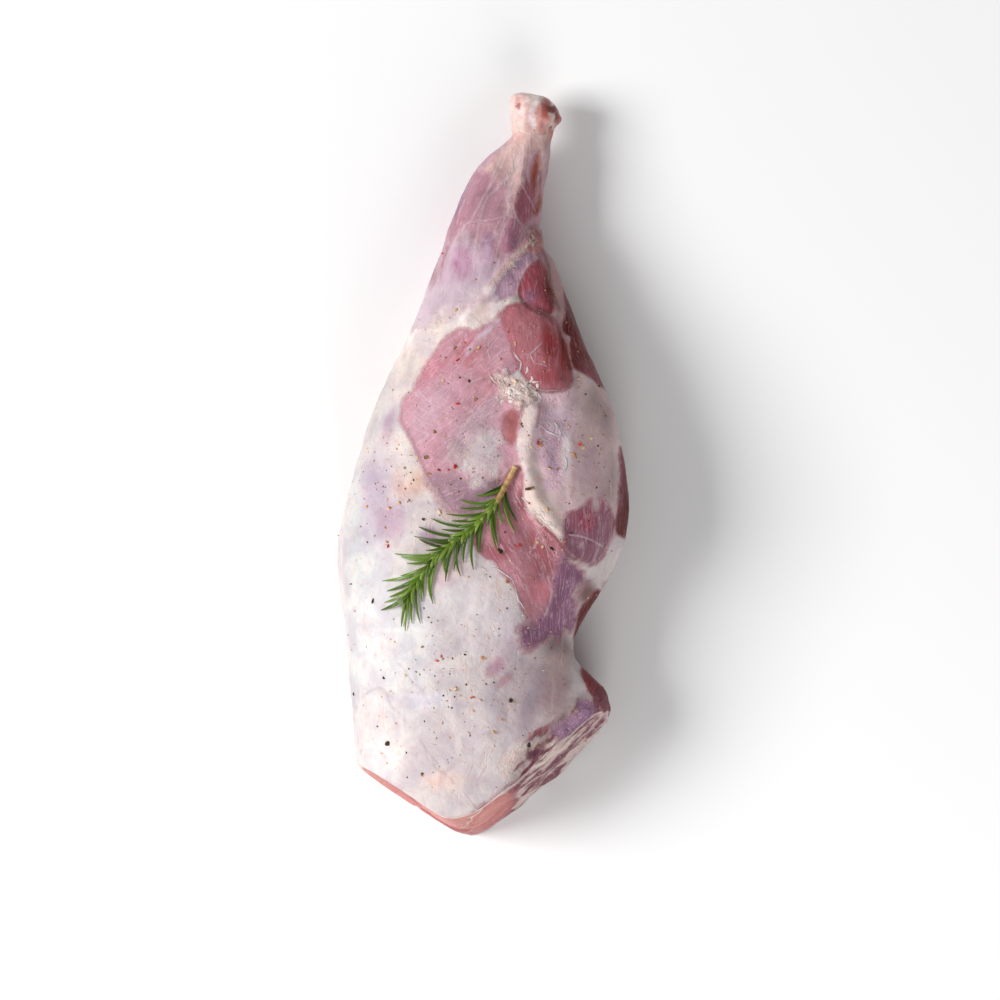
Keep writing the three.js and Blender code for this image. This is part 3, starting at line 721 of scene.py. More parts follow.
# Fat, tendon and film that lie over the muscle: name, tone, blur, fray, veil, torn, then the outline.
ISLANDS = """
shin_fan #ccb5ae 2.4 1.6 0.8 0 14.5,187 11,176 6.5,167.5 3,159 -0.5,149.5 3,153 6.5,160 10,164.5 12.5,159
 11.5,148.5 10.5,139.5 13,138 16,146 19.5,154 22,156.5 24,167 26.5,176 27.5,185
shank_edge_band #914d30 1.2 0.3 1 0 37.5,202 35.5,190 32,176 30,162 28,148 25.5,140 29,138 32,145.5 33,159.5
 36,176.5 40,187.5 41.5,195.5
tendon_band #c7aaa8 0.9 0.5 1 0.25 33.5,125.5 31.5,118.5 25.5,119 19.5,115 13,108 8,100.5 5.5,94 1,92.5
 -1.5,96.5 2.5,102 6.5,107.5 13,114.5 18.5,120.5 23,126 27,129.5
knot #bf898c 0.9 1.5 1 0.8 25,133 29.5,132 32,127 33,119.5 29,116 24,117 23,121.5 24.5,127.5
edge_fat #bc9b9a 0.8 0.5 1 0 31.5,118.5 36,116.5 40,113.5 43,106 43.5,97.5 45,84.5 43.5,74.5 46.5,66
 47.5,56.5 45.5,62 42.5,70 39,81 37.5,92.5 35.5,103.5 33.5,111.5
collar #e4c4be 2.4 1.2 0.85 0 14,194.3 42,194.3 37.9,179.7 34.3,169.3 30.8,167.6 28,173.1 25.2,168.8 22.4,156
 19.3,148.8 15.6,144.5 13.4,151.6 11.7,158.8 7.7,154.5 4.5,158.9 0.7,161.8 -2.8,165.9 1.4,170.8 8.4,177.8
 12.9,184.1
cream_sheet #e6dddd 4.5 2.5 1 0 19.5,91 15.5,89 11.5,87.5 6.5,83.5 2,79.5 -3.5,74.5 -8,74 -13.5,75 -18,73
 -23,69.5 -29,65 -36,60 -44.5,62.5 -47.5,67 -39,78 -31.5,81.5 -25,85.5 -18,87.5 -10.5,91.5 -6,96.5 -0.5,96
 5.5,93 11,91.5
film_mesh #9fa2b4 1.6 2 0.44 0 8,72.9 14.6,65.6 17.6,58.9 18.1,52.3 11.6,48.7 3.2,49.9 -2.1,53.5 -4.5,59.5
 0.8,67.4
film_band #e0e2f3 0.8 0.9 0.6 0 9.2,79.6 6.2,75.9 0.8,70.4 -4.6,65 -8.1,60.8 -10.5,59.6 -9.9,64.4 -5.2,69.8
 0.2,74.1 5.6,79
film_streaks #e0d8cf 1.4 1.8 0.42 0 11.6,37.9 5.6,37.3 -0.9,31.9 -8.1,25.3 -15.2,18.8 -11.6,15.8 -4.5,19.9
 2.6,23.5 9.8,27.7 15.7,31.3
fat_clump #fbe6e0 1.2 4.5 1 1 4,49.5 7.5,50.5 10.5,47 13,44 19,48.5 24,47 25,41.5 29.5,38.5 30.5,34 27,30.5
 21.5,30.5 15,31.5 10,34 7,38.5 8.5,43
film_cloud #d4cecf 2.5 6 0.66 0.08 -5,17 -12.5,9.5 -16,1 -12.5,-7 -2.5,-10 8.5,-5.5 15.5,-1.5 14,4 10,8.5
 8.5,15 3,18.5
film_tail #d3c8bf 1.8 5 0.54 0 -17,-2 -23,2 -20,8 -14,14 -9,19 -3,24 3,27 2,22 -4,17 -10,9 -13,2
fat_ridge #e9d9d7 0.8 0.6 1 0.15 26,33 28.5,28.5 28,22 26.5,15 25.5,8.5 27,2 25,-5.5 21.5,-7 19.5,-1.5 19,6.5
 18.5,13 19.5,20.5 20.5,28.5
sheet #dec9ca 1 1 0.8 0 33,35 39,37.5 47,42 50,51 55.5,47.5 61.5,43.5 67.5,39.5 72,30.5 74.5,13.5 75.5,-3
 74,-20 72.5,-31 67,-22.5 63.5,-19 57.5,-20 51.5,-25 44.5,-28.5 43.5,-40.5 37,-38 30.5,-33.5 23.5,-26.5
 20.5,-19 22.5,-11 27,-5.5 27,2 26.5,10 29,21 28.5,29.5
sheet_lilac #e5c7d5 1.4 1.4 0.72 0.2 30.1,36.1 37.2,38 45.7,41.1 47.5,37.5 40.8,31.4 37.8,27.2 41.4,25.4
 49.2,26.1 47.4,16.5 42.5,13.5 42.5,5.7 44.3,-0.2 42.5,-8 40.7,-14.4 34.7,-14.4 33,-5.6 30,1.5 27.6,7.4
 27.6,19.3 29.1,22.9 30,28.3
"""
PATCHES = [
    Patch(name, Tissue.MEAT, tone, outline, blur, fray, torn, fibre=fibre, film=film)
    for name, tone, blur, fray, fibre, film, torn, *outline in table(WINDOWS)
] + [
    Patch(name, Tissue.FAT, tone, outline, blur, fray, torn, veil=veil)
    for name, tone, blur, fray, veil, torn, *outline in table(ISLANDS)
]

# Soft ovals of another tone on the fat, then on the muscle: centre, half sizes, tone, turn, strength. On the
# fat, the near-black ovals at 62,22, 66,-8 and 40,-104 are painted shade on the right side and at the notch.
# The grey strips at -60,30 and -72,-60 are painted shade along the left edge. The white at 60.5,-133 is the
# flap's fat with a painted wet highlight.
FAT_BLUSHES = """
-42.5,55 22.5,9 #d8cec9 25
-26,81 14.5,8 #eee4da
-1.5,86.5 11,6.5 #e4d1d0
-53,20 13.5,4 #beacb8 12
-62,-22.5 33.5,14.5 #bfb3c1
-41,-10 10,11 #d3b2a7
-43,7.5 22.5,8 #d6cdcb
-51,-32 12.5,10 #bba5b5
-30,-39.5 6.5,6 #ac96ad
-62,-70 34,9 #ced3d4 0 0.8
-25,-60 14,14 #dfc9cf 0 0.8
8,-95 16,12 #c2b4c4 0 0.8
40,-104 12,10 #4b1616 0 0.8
-5,-150 22,20 #d8d0d3 0 0.8
38,184 12,3.5 #b9695b 0 0.8
8,166 9,5 #a68786 20 0.7
-22,94 6,17 #cfced9 0 0.8
-72,-60 95,7 #c7cccd 0 0.8
-60,30 40,6 #bdbab9 14 0.7
62,22 22,9 #161616 0 0.8
66,-8 18,8 #161616 0 0.8
-49,-97 47.5,28 #d9dadc
-16,-74.5 11,12.5 #e3e1e1
-31,-129.5 6.5,12.5 #dbdae3
-1.5,-88.5 22.5,17 #ded7db
25,-124.5 28,19.5 #b9acb3
6,-111.5 4.5,8 #bf9ead -40
11,-119 3.5,6.5 #b698a0 -40
-22,-174.5 6.5,13.5 #e1cdc9
-55.5,-161 19,14.5 #e5e1e0
59,2 36.5,14 #d6bdc1
41.5,24 11,9 #e9d2de
37,5 12.5,5.5 #b8a0b5
45,6.5 15.5,3 #f5eff3
31,-23 19,7.5 #e2d3cd -40
22,18.5 17,4 #e0d2d0
60.5,-133 8,4.5 #f9f9f9 40
39.5,-125 25,10 #bca6a8
56.5,-72 8,6.5 #8c716e
"""
# On the muscle, the dark red at 44,60 is painted shade on the right side of the thigh's bulge, over its red
# meat.
MEAT_BLUSHES = """
54,5 46,26 #b16f80 0 0.9
-20,106 7,20 #bd9baf 0 0.8
-28,50 14,12 #c57f8c 0 0.8
-19,132 13,5 #aa7384 22 0.8
30,-43 8,9 #975151 0 0.7
8,-47 7,8 #944954 0 0.7
-30,30 24,9 #c7a0ae 30 0.8
-8,62 11,10 #c17880 0 0.8
2,48 12,9 #cb8d96 0 0.7
22,70 15,6 #ab6d74 -10 0.8
36,66 14,5 #871616 -8 0.8
-12.5,112.5 11,8 #9f5680
1,116 15.5,5 #a27c95
-25,113 17,4.5 #9a6974 20
-16,148 22,4 #846982 22
35.5,97 11,3 #742b29 -8
25,93 5,5 #805063
44,60 17,4 #8a3230 -8
35,49 6.5,10 #a7555c
-6,10 22,16 #b79fa9 30 0.8
33,-53 11,8.5 #965159 0 0.8
31,-70 9,7 #d9828e 0 0.8
22,-20 9,5.5 #7b3d42 0 0.8
56.5,-31 6.5,4.5 #a72843 0 0.8
"""
BLUSHES = [Blush(Tissue.FAT, *row) for row in table(FAT_BLUSHES)]
BLUSHES += [Blush(Tissue.MEAT, *row) for row in table(MEAT_BLUSHES)]

# Sinews and creases in the surface: half width, strength, then the path. A strength below zero draws a dark
# crease line, which is painted shade.
STRANDS = [Strand(path, half, strength) for half, strength, *path in table("""
0.35 0.4 -10.5,59 -13.5,54.5 -16.5,51 -19.5,48
0.4 0.48 -14.5,16.5 -15.5,11 -20.5,3 -23.5,-0.5
0.45 0.6 34,-60.5 35.5,-64.5 37,-69.5 36,-75.5 34,-81.5 31,-86.5
0.35 0.48 18.5,-76.5 22.5,-81 26,-87
0.45 0.56 45,-39 51.5,-39.5 59,-42 66.5,-46.5
0.5 0.64 15.5,146.5 17,138.5 21,133
0.5 0.64 11.5,148.5 13.5,143.5 12.5,138
0.3 0.32 -35,41.5 -29.5,42.5 -24,44
0.3 0.32 -28,40 -19,33.5
0.3 0.32 -22.5,28.5 -14,26
0.35 0.4 -14,39.5 -8.5,44.5 0,48.5
0.3 0.32 -14,31.5 -9.5,38
0.3 0.32 -7.5,28.5 -5.5,38
0.3 0.32 -28,52.5 -21.5,47 -16.5,43.5
0.4 0.4 -30.5,15 -20,22 -14,26
0.4 0.4 -37.5,12 -30.5,15
0.3 0.36 -38,42 -31,35 -23,30.5 -13,29
0.32 0.32 -43,37.5 -34,30 -25,26 -15,24.5
0.3 0.28 -45,31 -35,24 -26,20.5
0.3 0.28 -45.5,25 -36,18.5 -28,16
0.28 0.24 -36,47 -28,43.5 -20,42.5 -12,38
0.28 0.24 -30,56 -22,51 -14,50.5 -6,46
0.81 -0.68 39.9,78.8 41.6,70.7 44,62.2 46.7,54.5 48.2,50.9
0.61 -0.52 30,33.1 29.8,28.3 29.1,22.9 28,19.3
0.54 -0.34 25.9,33.4 22.9,31.6 18.7,31.3 15.1,32.2
0.81 -0.64 25.5,-26.9 32.9,-35 38.8,-40.2 46.3,-50.6 52.4,-53
0.81 -0.64 30.7,123.1 34.2,112.5 36.2,102.5 38.3,92.7 41.7,82.9
0.81 -0.56 17.8,95.1 20.9,89.5 27.8,84.6 34.7,81.2 38.9,76.3
0.94 -0.45 29,-153.3 26.2,-166.4 20.5,-171.5 18.8,-177.3
0.94 -0.45 10.9,-197.4 16.7,-192.8 21.9,-188.1 27.1,-182.7
0.81 -0.34 34.1,-154.6 33.5,-157.4 37.1,-162.3 35.6,-169.7 29.3,-175.5
0.68 -0.21 -69.5,-130.9 -63.7,-125.9 -58.1,-123.4 -54,-126.4 -51.6,-132.8 -46.1,-138.2 -42.5,-144.5
0.68 -0.17 -49.7,-108 -44.2,-112.4 -39.6,-119.7 -33.3,-125.1 -30.6,-132.4
0.61 -0.19 -37,-149 -31.6,-158.2 -24.4,-166.5 -19.8,-174.8
0.68 -0.22 -30.6,-163.6 -24.3,-169.6 -18.7,-173.9 -16.6,-177.5
1.08 -0.11 -73,-91.3 -74.4,-108.1 -73.4,-122.9 -71.2,-141.4
0.68 -0.11 -63.9,-148.1 -58.3,-159 -49.1,-166.9 -41.8,-169.5
0.5 0.64 0.4,-165.4 -2.1,-170.8 -4.6,-174.3
0.5 0.64 7.4,-178.5 4.9,-185 3.1,-188.2
0.4 0.48 -6.7,-164.3 -8.8,-170.3 -11.3,-174.6
0.9 0.4 -32.1,-179.8 -26.4,-183.3 -18.7,-184.7 -13.8,-188 -9.2,-191.6
0.5 0.48 -13,-180.4 -10.2,-184 -6.7,-188.4 -3.2,-193.3
2.3 0.4 50.9,43.7 51.7,31.6 50.7,22.5 48.9,14.1 44.9,6.3 45.8,-0.2 43.7,-6.2 41.9,-13.9
0.8 0.28 60.4,45.2 64.1,39.2 69.1,32.7 73.3,28.7
0.9 0.24 71.7,29.3 72.3,13.9 72.1,-4.2 72.4,-14.3
0.6 0.48 -8.1,60.8 -4.6,66.5 0.8,72 6.8,77.7 8.9,80.8
0.35 0.4 -0.4,52.3 3.2,57.1 2,61.4 2.6,68.6
0.35 0.48 -10.5,43.9 -8.1,45.1 -3.3,46.3 0.8,48.1
0.5 0.56 9.2,37.9 2.6,31.9 -3.3,27.7 -8.1,23.5 -12.8,19.4
0.35 0.44 11.6,34.9 5,28.9 -2.1,25.3 -6.9,21.7
0.3 0.4 6.2,36.7 -0.9,33.1 -5.7,27.7 -10.4,25.3
0.55 0.4 16.1,187.5 12.6,174.6 7.7,163.1 0.7,151.7 -5.5,140.3 -12.5,130.6 -20.9,116.8
0.55 0.4 18.2,184.5 16.1,168.8 11.2,158.8 5.6,153.1 0.7,147.4 -2.7,136.1 -5.5,119.1 -7.5,97.9
0.6 0.4 19.9,178.7 18.5,165.8 15,155.9 12.6,148.7 14,140.9
0.4 0.4 22.4,182.9 21.3,168.7 19.8,158.7 22.4,153.2 26.6,145 28.7,139.5
1.3 0.36 12.6,182.6 6.3,174.9 0.7,169.4 -5.6,163.7
0.35 0.32 -14.6,136.4 -5.5,135.2 8.4,137.3 12.6,138.8 18.1,136.1 22.3,132.3
0.4 0.32 5.6,111.2 7.7,121.8 11.9,135.9
0.7 0.32 0.8,90.8 8.4,107.7 14,116.2
0.5 0.36 25.2,185.7 25.5,173 24,163.1 25.2,156.1
0.6 0.32 36.5,189.1 35,176.3 32.5,162.2 30.8,148.1
0.5 0.36 9.8,173.2 5.6,163.2 1.4,154.6
""")]


class TissueMap:
    """Paints what the leg's skin is made of onto its points."""

    MEAT_BASE, FAT_BASE = "#a35f64", "#d1cacc"
    HIDDEN_FAT = "#dccbc6"
    NO_STRAND = 4.0
    REACH = 13.9

    def __init__(self, points: Array, plan: Array, arc: Array, hidden: Array) -> None:
        """Takes the skin's points.

        Args:
            points: Positions in millimetres.
            plan: Place across and along the leg. Below the widest line the place across goes on outwards by
                the distance round the section.
            arc: Distance round the section from its crest, below zero on the left.
            hidden: How far each point is below the widest line, from 0 to 1.
        """
        self.points, self.plan, self.arc, self.hidden = points, plan, arc, hidden
        count = len(points)
        self.ragged = Noise(3)
        self.cover = np.full(count, FULL_COVER)
        self.meat = np.tile(linear(self.MEAT_BASE), (count, 1))
        self.fat = mix(linear(self.FAT_BASE), linear(self.HIDDEN_FAT), hidden[:, None])
        self.film, self.veil, self.torn = np.full(count, 0.2), np.ones(count), np.zeros(count)
        self.fibre = np.stack([arc, plan[:, 1], np.zeros(count)], 1)
        self.strand = np.full(count, self.NO_STRAND)
        self.shown = np.zeros(count)

    def lay(self, patch: Patch) -> None:
        """Lays one patch: a window takes the cover below zero by its depth, an island takes it above zero,
        each divided by the patch's blur, and the tone fades in from a few millimetres outside."""
        depth = depth_inside(self.plan, patch.outline)
        near = depth > -self.REACH
        depth[near] += patch.fray * self.ragged.at(self.points[near], 6.0, 3)
        share = smoothstep(-max(2.5, 2 * patch.blur), 1.5, depth)[:, None]
        self.torn = mix(self.torn, patch.torn, smoothstep(-1.5, 1.5, depth))
        if patch.tissue is Tissue.MEAT:
            away = FULL_COVER * smoothstep(5.0, self.REACH, -depth)
            self.cover = np.minimum(self.cover, away - depth / patch.blur)
            self.meat = mix(self.meat, linear(patch.tone), share)
            self.film = mix(self.film, patch.film, share[:, 0])
            turn = math.radians(patch.fibre)
            held = depth > 0
            u, v = self.arc[held], self.plan[held, 1]
            self.fibre[held, 0] = u * math.cos(turn) - v * math.sin(turn)
            self.fibre[held, 1] = u * math.sin(turn) + v * math.cos(turn)
        else:
            self.cover = np.where(near, np.maximum(self.cover, depth / patch.blur), self.cover)
            self.fat = mix(self.fat, linear(patch.tone), share)
            self.veil = mix(self.veil, patch.veil, smoothstep(-1.5, 1.5, depth))

    def tint(self, blush: Blush) -> None:
        """Mixes an oval's tone in, full in its middle third and gone at 1.3 times its size."""
        d = oval_distance(self.plan, blush.at, blush.half, blush.turn)
        share = (blush.strength * (1 - smoothstep(0.3, 1.3, d)))[:, None]
        layer = "meat" if blush.tissue is Tissue.MEAT else "fat"
        setattr(self, layer, mix(getattr(self, layer), linear(blush.tone), share))

    def draw(self, strand: Strand) -> None:
        """Notes the signed distance to a sinew, or to a crease of painted shade, that is the nearest so far,
        and how strongly it shows, which falls off towards its ends and away from it."""
        line = smooth_path(strand.path, 4)
        reach = 3.0 + 2.2 * strand.half
        near = ((self.plan > line.min(0) - reach) & (self.plan < line.max(0) + reach)).all(1)
        away, at, side = nearest_on(self.plan[near], line[:-1], line[1:])
        t = at / (len(line) - 1)
        ends = smoothstep(0, 0.12, t) * smoothstep(1, 0.88, t)
        show = strand.strength * ends * smoothstep(reach, reach / 2, away)
        closer = away < np.abs(self.strand[near])
        index = np.flatnonzero(near)[closer]
        self.strand[index] = (side * away)[closer] * 0.4 / strand.half
        self.shown[index] = show[closer]

    def paint(self) -> dict[str, Array]:
        """Paints everything and gives the values on the points that the flesh's shader reads."""
        for patch in PATCHES:
            self.lay(patch)
        windows = 3.0 - 5.5 * self.ragged.at(self.points + 40.0, (30, 60, 30), 3)
        self.cover = mix(self.cover, np.minimum(self.cover, windows), self.hidden)
        for blush in BLUSHES:
            self.tint(blush)
        for strand in STRANDS:
            self.draw(strand)
        return {
            "meat_tone": self.meat,
            "fat_tone": self.fat,
            "cover": np.clip(self.cover, -FULL_COVER, FULL_COVER),
            "film": self.film,
            "veil": self.veil,
            "torn": self.torn,
            "fibre": self.fibre,
            "strand": self.strand,
            "strand_show": self.shown,
        }


@dataclass(frozen=True)
class LegSizes:
    """The leg's grid and the fine relief on its skin."""

    rings: int = 318
    columns: int = 276
    crowding: float = 0.42
    cut_rings: int = 32
    sleeve_at: float = 189.0
    sleeve_rise: float = 1.6
    sleeve_gap: float = -0.45
    fat_step: float = 0.35
    lump: float = 0.5
    pucker: float = 0.06
    trim_rough: float = 0.75
    rim_top: float = 3.6
    rim_under: float = 3.0
    seam: float = 1.1


class Leg:
    """The meat of the leg with its fat cover, as one closed skin."""

    MUSCLES = np.array(table("-52,20 -50,44 -22,52 -24,17 6,40 4,12 32,30 42,10 -70,34")[0])
    TRIM_MEAT, TRIM_FAT = "#8a5763", "#e2d1cd"
    CUT_TONES = (
        "#cd7d76", "#c06c69", "#d28a82", "#b8605f", "#d08079", "#c17472", "#a85a5e", "#9f565b", "#cb857d",
    )
    RIM_TONE = "#ecdcd5"

    def __init__(self, form: LegForm, sizes: LegSizes) -> None:
        """Takes the outer form and the sizes."""
        self.form, self.sizes = form, sizes
        self.rough = Noise(11)
        even = 2 * math.pi * np.arange(sizes.columns) / sizes.columns
        self.angle = even + sizes.crowding * np.cos(even)

    def skin_grid(self) -> Array:
        """Gives the skin's points as rings and columns, from the sleeve round the bone to the cuts."""
        s = self.sizes
        start = s.sleeve_at + s.sleeve_rise * np.sin(3 * self.angle + 1)
        t = np.linspace(0, 1, s.rings + 1)[:, None]
        y = mix(start[None], self.form.column_end(self.angle)[None], t)
        angle = np.broadcast_to(self.angle, y.shape)
        return self.form.skin(y.ravel(), angle.ravel()).reshape(*y.shape, 3)

    def close_sleeve(self, grid: Array) -> Array:
        """Draws the last millimetres of the skin in to the bone.

        Each point keeps its direction from the bone's middle, and its distance blends towards the bone's
        own oval there: 1 over the root of the summed squares of the direction over the half sizes.
        """
        x, z, wide, high = through(BONE_SECTIONS, grid[..., 1].ravel()).T.reshape(4, *grid.shape[:2])
        dx, dz = grid[..., 0] - x, grid[..., 2] - z
        away = np.maximum(np.hypot(dx, dz), 1e-6)
        bone = away / np.maximum(np.hypot(dx / wide, dz / high), 1e-6)
        start = self.sizes.sleeve_at - self.sizes.sleeve_rise
        share = smoothstep(start - 15.0, start + 1.0, grid[..., 1])
        scale = mix(1.0, (bone + self.sizes.sleeve_gap) / away, share)
        return np.stack([x + dx * scale, grid[..., 1], z + dz * scale], 2)

    def unrolled(self, grid: Array) -> tuple[Array, Array]:
        """Measures the place across and the distance from the crest of every point.

        The distance is the summed length of the straight pieces round each ring, counted from the crest. The
        place across is x down to the widest line, and goes on from there by the distance round.

        Args:
            grid: The skin's points as rings and columns.

        Returns:
            The place across and the distance, both as rings and columns.
        """
        turn = np.mod(self.angle, 2 * math.pi)
        bottom, crest, left, right = (
            int(np.abs(np.angle(np.exp(1j * (turn - a)))).argmin())
            for a in (1.5 * math.pi, 0.5 * math.pi, math.pi, 0.0)
        )
        order = (bottom + np.arange(len(turn))) % len(turn)
        ordered = grid[:, order]
        piece = np.linalg.norm(np.diff(ordered[..., ::2], axis=1), axis=2)
        run = np.concatenate([np.zeros((len(grid), 1)), np.cumsum(piece, 1)], 1)
        arc = np.empty(grid.shape[:2])
        arc[:, order] = run[:, list(order).index(crest)][:, None] - run
        x = grid[..., 0]
        beyond_right = x[:, right, None] + arc - arc[:, right, None]
        beyond_left = x[:, left, None] + arc - arc[:, left, None]
        below = np.where(arc > 0, beyond_right, beyond_left)
        return np.where(np.sin(turn) >= 0, x, below), arc

    def normals(self, grid: Array) -> Array:
        """Gives the outward directions: the cross product of the steps round and along the grid."""
        round_step = np.roll(grid, -1, 1) - np.roll(grid, 1, 1)
        out = np.cross(round_step, np.gradient(grid, axis=0))
        return out / np.maximum(np.linalg.norm(out, axis=2, keepdims=True), 1e-9)

    def along_cut(self, flat: Array, lift: float | Array = 0.0) -> Array:
        """Gives places that run along the knife's cut on the right, which the noise there is stretched by."""
        return np.stack([0.75 * flat[:, 0] + 0.66 * flat[:, 1], flat[:, 2] + lift, np.zeros(len(flat))], 1)

    def trim(self, flat: Array, values: dict[str, Array]) -> None:
        """Changes the values along the knife's cut on the right: torn, with strips of muscle that show where
        1.2 less 5.5 times a noise stretched along the cut is below zero."""
        edge = flat[:, 1] - self.form.cut_depth(flat[:, 0], flat[:, 2])
        share = smoothstep(24, 6, edge + 5 * self.rough.at(flat + 15.0, 8.0, 2))
        share = share * smoothstep(6, 22, flat[:, 0])
        strips = 1.2 - 5.5 * self.rough.at(self.along_cut(flat, edge) + 60.0, (13.0, 5.0, 5.0), 4)
        cover = mix(values["cover"], np.minimum(values["cover"], strips), share)
        values["cover"] = np.clip(cover, -FULL_COVER, FULL_COVER)
        values["torn"] = np.maximum(values["torn"], 0.7 * share)
        near = share[:, None] * 0.7
        values["meat_tone"] = mix(values["meat_tone"], linear(self.TRIM_MEAT), near)
        values["fat_tone"] = mix(values["fat_tone"], linear(self.TRIM_FAT), near)

    def fine_relief(self, grid: Array, values: dict[str, Array]) -> Array:
        """Gives the fine rise of every point: fat stands proud of the muscle windows, with lumps on both and
        puckers that run down the leg on the fat. It fades out at the sleeve and towards the floor."""
        s, flat = self.sizes, grid.reshape(-1, 3)
        fat = smoothstep(-0.9, 1.3, values["cover"])
        lumps = self.rough.at(flat, 11.0, 3)
        puckers = self.rough.at(flat + 90.0, (5.0, 19.0, 5.0), 3)
        fibres = self.rough.at(values["fibre"] + (0, 0, 7), (2.6, 16.0, 3.0), 2)
        rise = s.fat_step * fat + s.lump * lumps + s.pucker * (puckers * fat + 0.5 * fibres * (1 - fat))
        knots = 1 - 2 * np.abs(self.rough.at(flat + 140.0, (6.0, 6.0, 6.0), 3))
        rise += s.trim_rough * values["torn"] * (knots - 0.45 + 0.6 * self.rough.at(flat + 70.0, 2.6, 2))
        rise = rise.reshape(grid.shape[:2])
        sleeve = smoothstep(0.0, 6.0, grid[:1, :, 1] - grid[..., 1])
        return rise * sleeve * smoothstep(0.0, 6.0, grid[..., 2])

    def cut_face(self, edge: Array) -> tuple[Array, dict[str, Array], Array]:
        """Makes the butt's cut faces inside the skin's last ring.

        Rings close in towards the middle, each point on the knife cuts. The fat rim is thickest on top, the
        muscles are the cells nearest to each muscle's middle, and fat seams follow their borders.

        Args:
            edge: The last ring of the skin.

        Returns:
            The rings of points, the values on them and the point in the middle.
        """
        s = self.sizes
        middle = edge.mean(0)
        t = (np.arange(1, s.cut_rings) / s.cut_rings)[:, None] ** 1.3
        x, z = mix(edge[None, :, 0], middle[0], t), mix(edge[None, :, 2], middle[2], t)
        points = np.stack([x, self.form.cut_depth(x, z), z], 2)
        flat = np.vstack([points.reshape(-1, 3), [middle[0], 0, middle[2]]])
        flat[-1, 1] = self.form.cut_depth(flat[-1:, 0], flat[-1:, 2])[0]
        inside = np.append(np.hypot(x - edge[None, :, 0], z - edge[None, :, 2]).ravel(), 60.0)
        thick = mix(s.rim_under, s.rim_top, smoothstep(12, 48, edge[:, 2]))
        rim = np.append(np.broadcast_to(thick, x.shape), 0)
        wave = self.rough.at(flat, 9.0, 3)
        place = flat[:, ::2] + 3.5 * np.stack([wave, self.rough.at(flat + 31.0, 9.0, 2)], 1)
        away = np.linalg.norm(place[:, None] - self.MUSCLES[None], axis=2)
        near = np.sort(away, 1)
        border = (near[:, 1] - near[:, 0]) / 2
        seam = (s.seam * (1 + 0.8 * wave) - border) / 0.6
        fat = np.maximum((rim + 1.5 * wave - inside) / 0.8, seam)
        trimmed = smoothstep(8, 22, flat[:, 0] + 4 * wave)
        along = self.along_cut(flat)
        torn = 0.8 - 4.5 * self.rough.at(along + 60.0, (12.0, 5.0, 5.0), 4)
        fat = np.maximum(fat, mix(-FULL_COVER, torn, trimmed))
        flat[:, 1] += trimmed * (1.6 * self.rough.at(along, (14.0, 6.0, 5.0), 3) - 0.4)
        flat[:, 1] -= 0.9 * smoothstep(0.4, 4.0, border) * smoothstep(0, 8, inside) - 0.3 * wave
        count = len(flat)
        muscle = np.stack([linear(c) for c in self.CUT_TONES])[away.argmin(1)]
        values = {
            "meat_tone": mix(muscle, linear(self.TRIM_MEAT), trimmed[:, None]),
            "fat_tone": mix(linear(self.RIM_TONE), linear(self.TRIM_FAT), trimmed[:, None]),
            "cover": np.clip(fat, -FULL_COVER, FULL_COVER),
            "film": np.full(count, 0.1),
            "veil": np.ones(count),
            "torn": mix(0.35, 0.7, trimmed),
            "fibre": np.stack([flat[:, 0], 3 * flat[:, 2], flat[:, 1]], 1),
            "strand": np.full(count, TissueMap.NO_STRAND),
            "strand_show": np.zeros(count),
            "marble": np.ones(count),
        }
        return flat[:-1].reshape(points.shape), values, flat[-1]

    def build(self, material: bpy.types.Material) -> bpy.types.Object:
        """Builds the painted skin with its cut faces as one closed mesh."""
        s = self.sizes
        grid = self.close_sleeve(self.skin_grid())
        across, arc = self.unrolled(grid)
        hidden = np.broadcast_to(smoothstep(0.0, 0.5, -np.sin(self.angle)), across.shape)
        plan = np.stack([across, grid[..., 1]], 2).reshape(-1, 2)
        values = TissueMap(grid.reshape(-1, 3), plan, arc.ravel(), hidden.ravel()).paint()
        self.trim(grid.reshape(-1, 3), values)
        values["marble"] = np.zeros(len(plan))
        grid = grid + self.normals(grid) * self.fine_relief(grid, values)[..., None]
        grid[..., 2] = np.maximum(grid[..., 2], 0)
        cut, cut_values, middle = self.cut_face(grid[-1])
        rings = np.concatenate([grid, cut])
        count = rings.shape[0] * rings.shape[1]
        _, _, crest, _, belly, _, _ = through(SECTIONS, np.array([s.sleeve_at]))[0]
        start = np.array([[crest, s.sleeve_at - 2, belly]])
        shape = Shape()
        faces = [
            tube_faces(rings.shape[0], s.columns),
            fan_faces(count, np.arange(s.columns), inward=True),
            fan_faces(count + 1, np.arange(count - s.columns, count), inward=False),
        ]
        joined = {
            key: np.concatenate([value, cut_values[key][:-1], value[:1], cut_values[key][-1:]])
            for key, value in values.items()
        }
        shape.add(np.vstack([rings.reshape(-1, 3), start, middle[None]]), faces, **joined)
        return hand_over(shape.mesh_object("lamb_leg_meat_and_fat", material), "meat_and_fat", "leg")


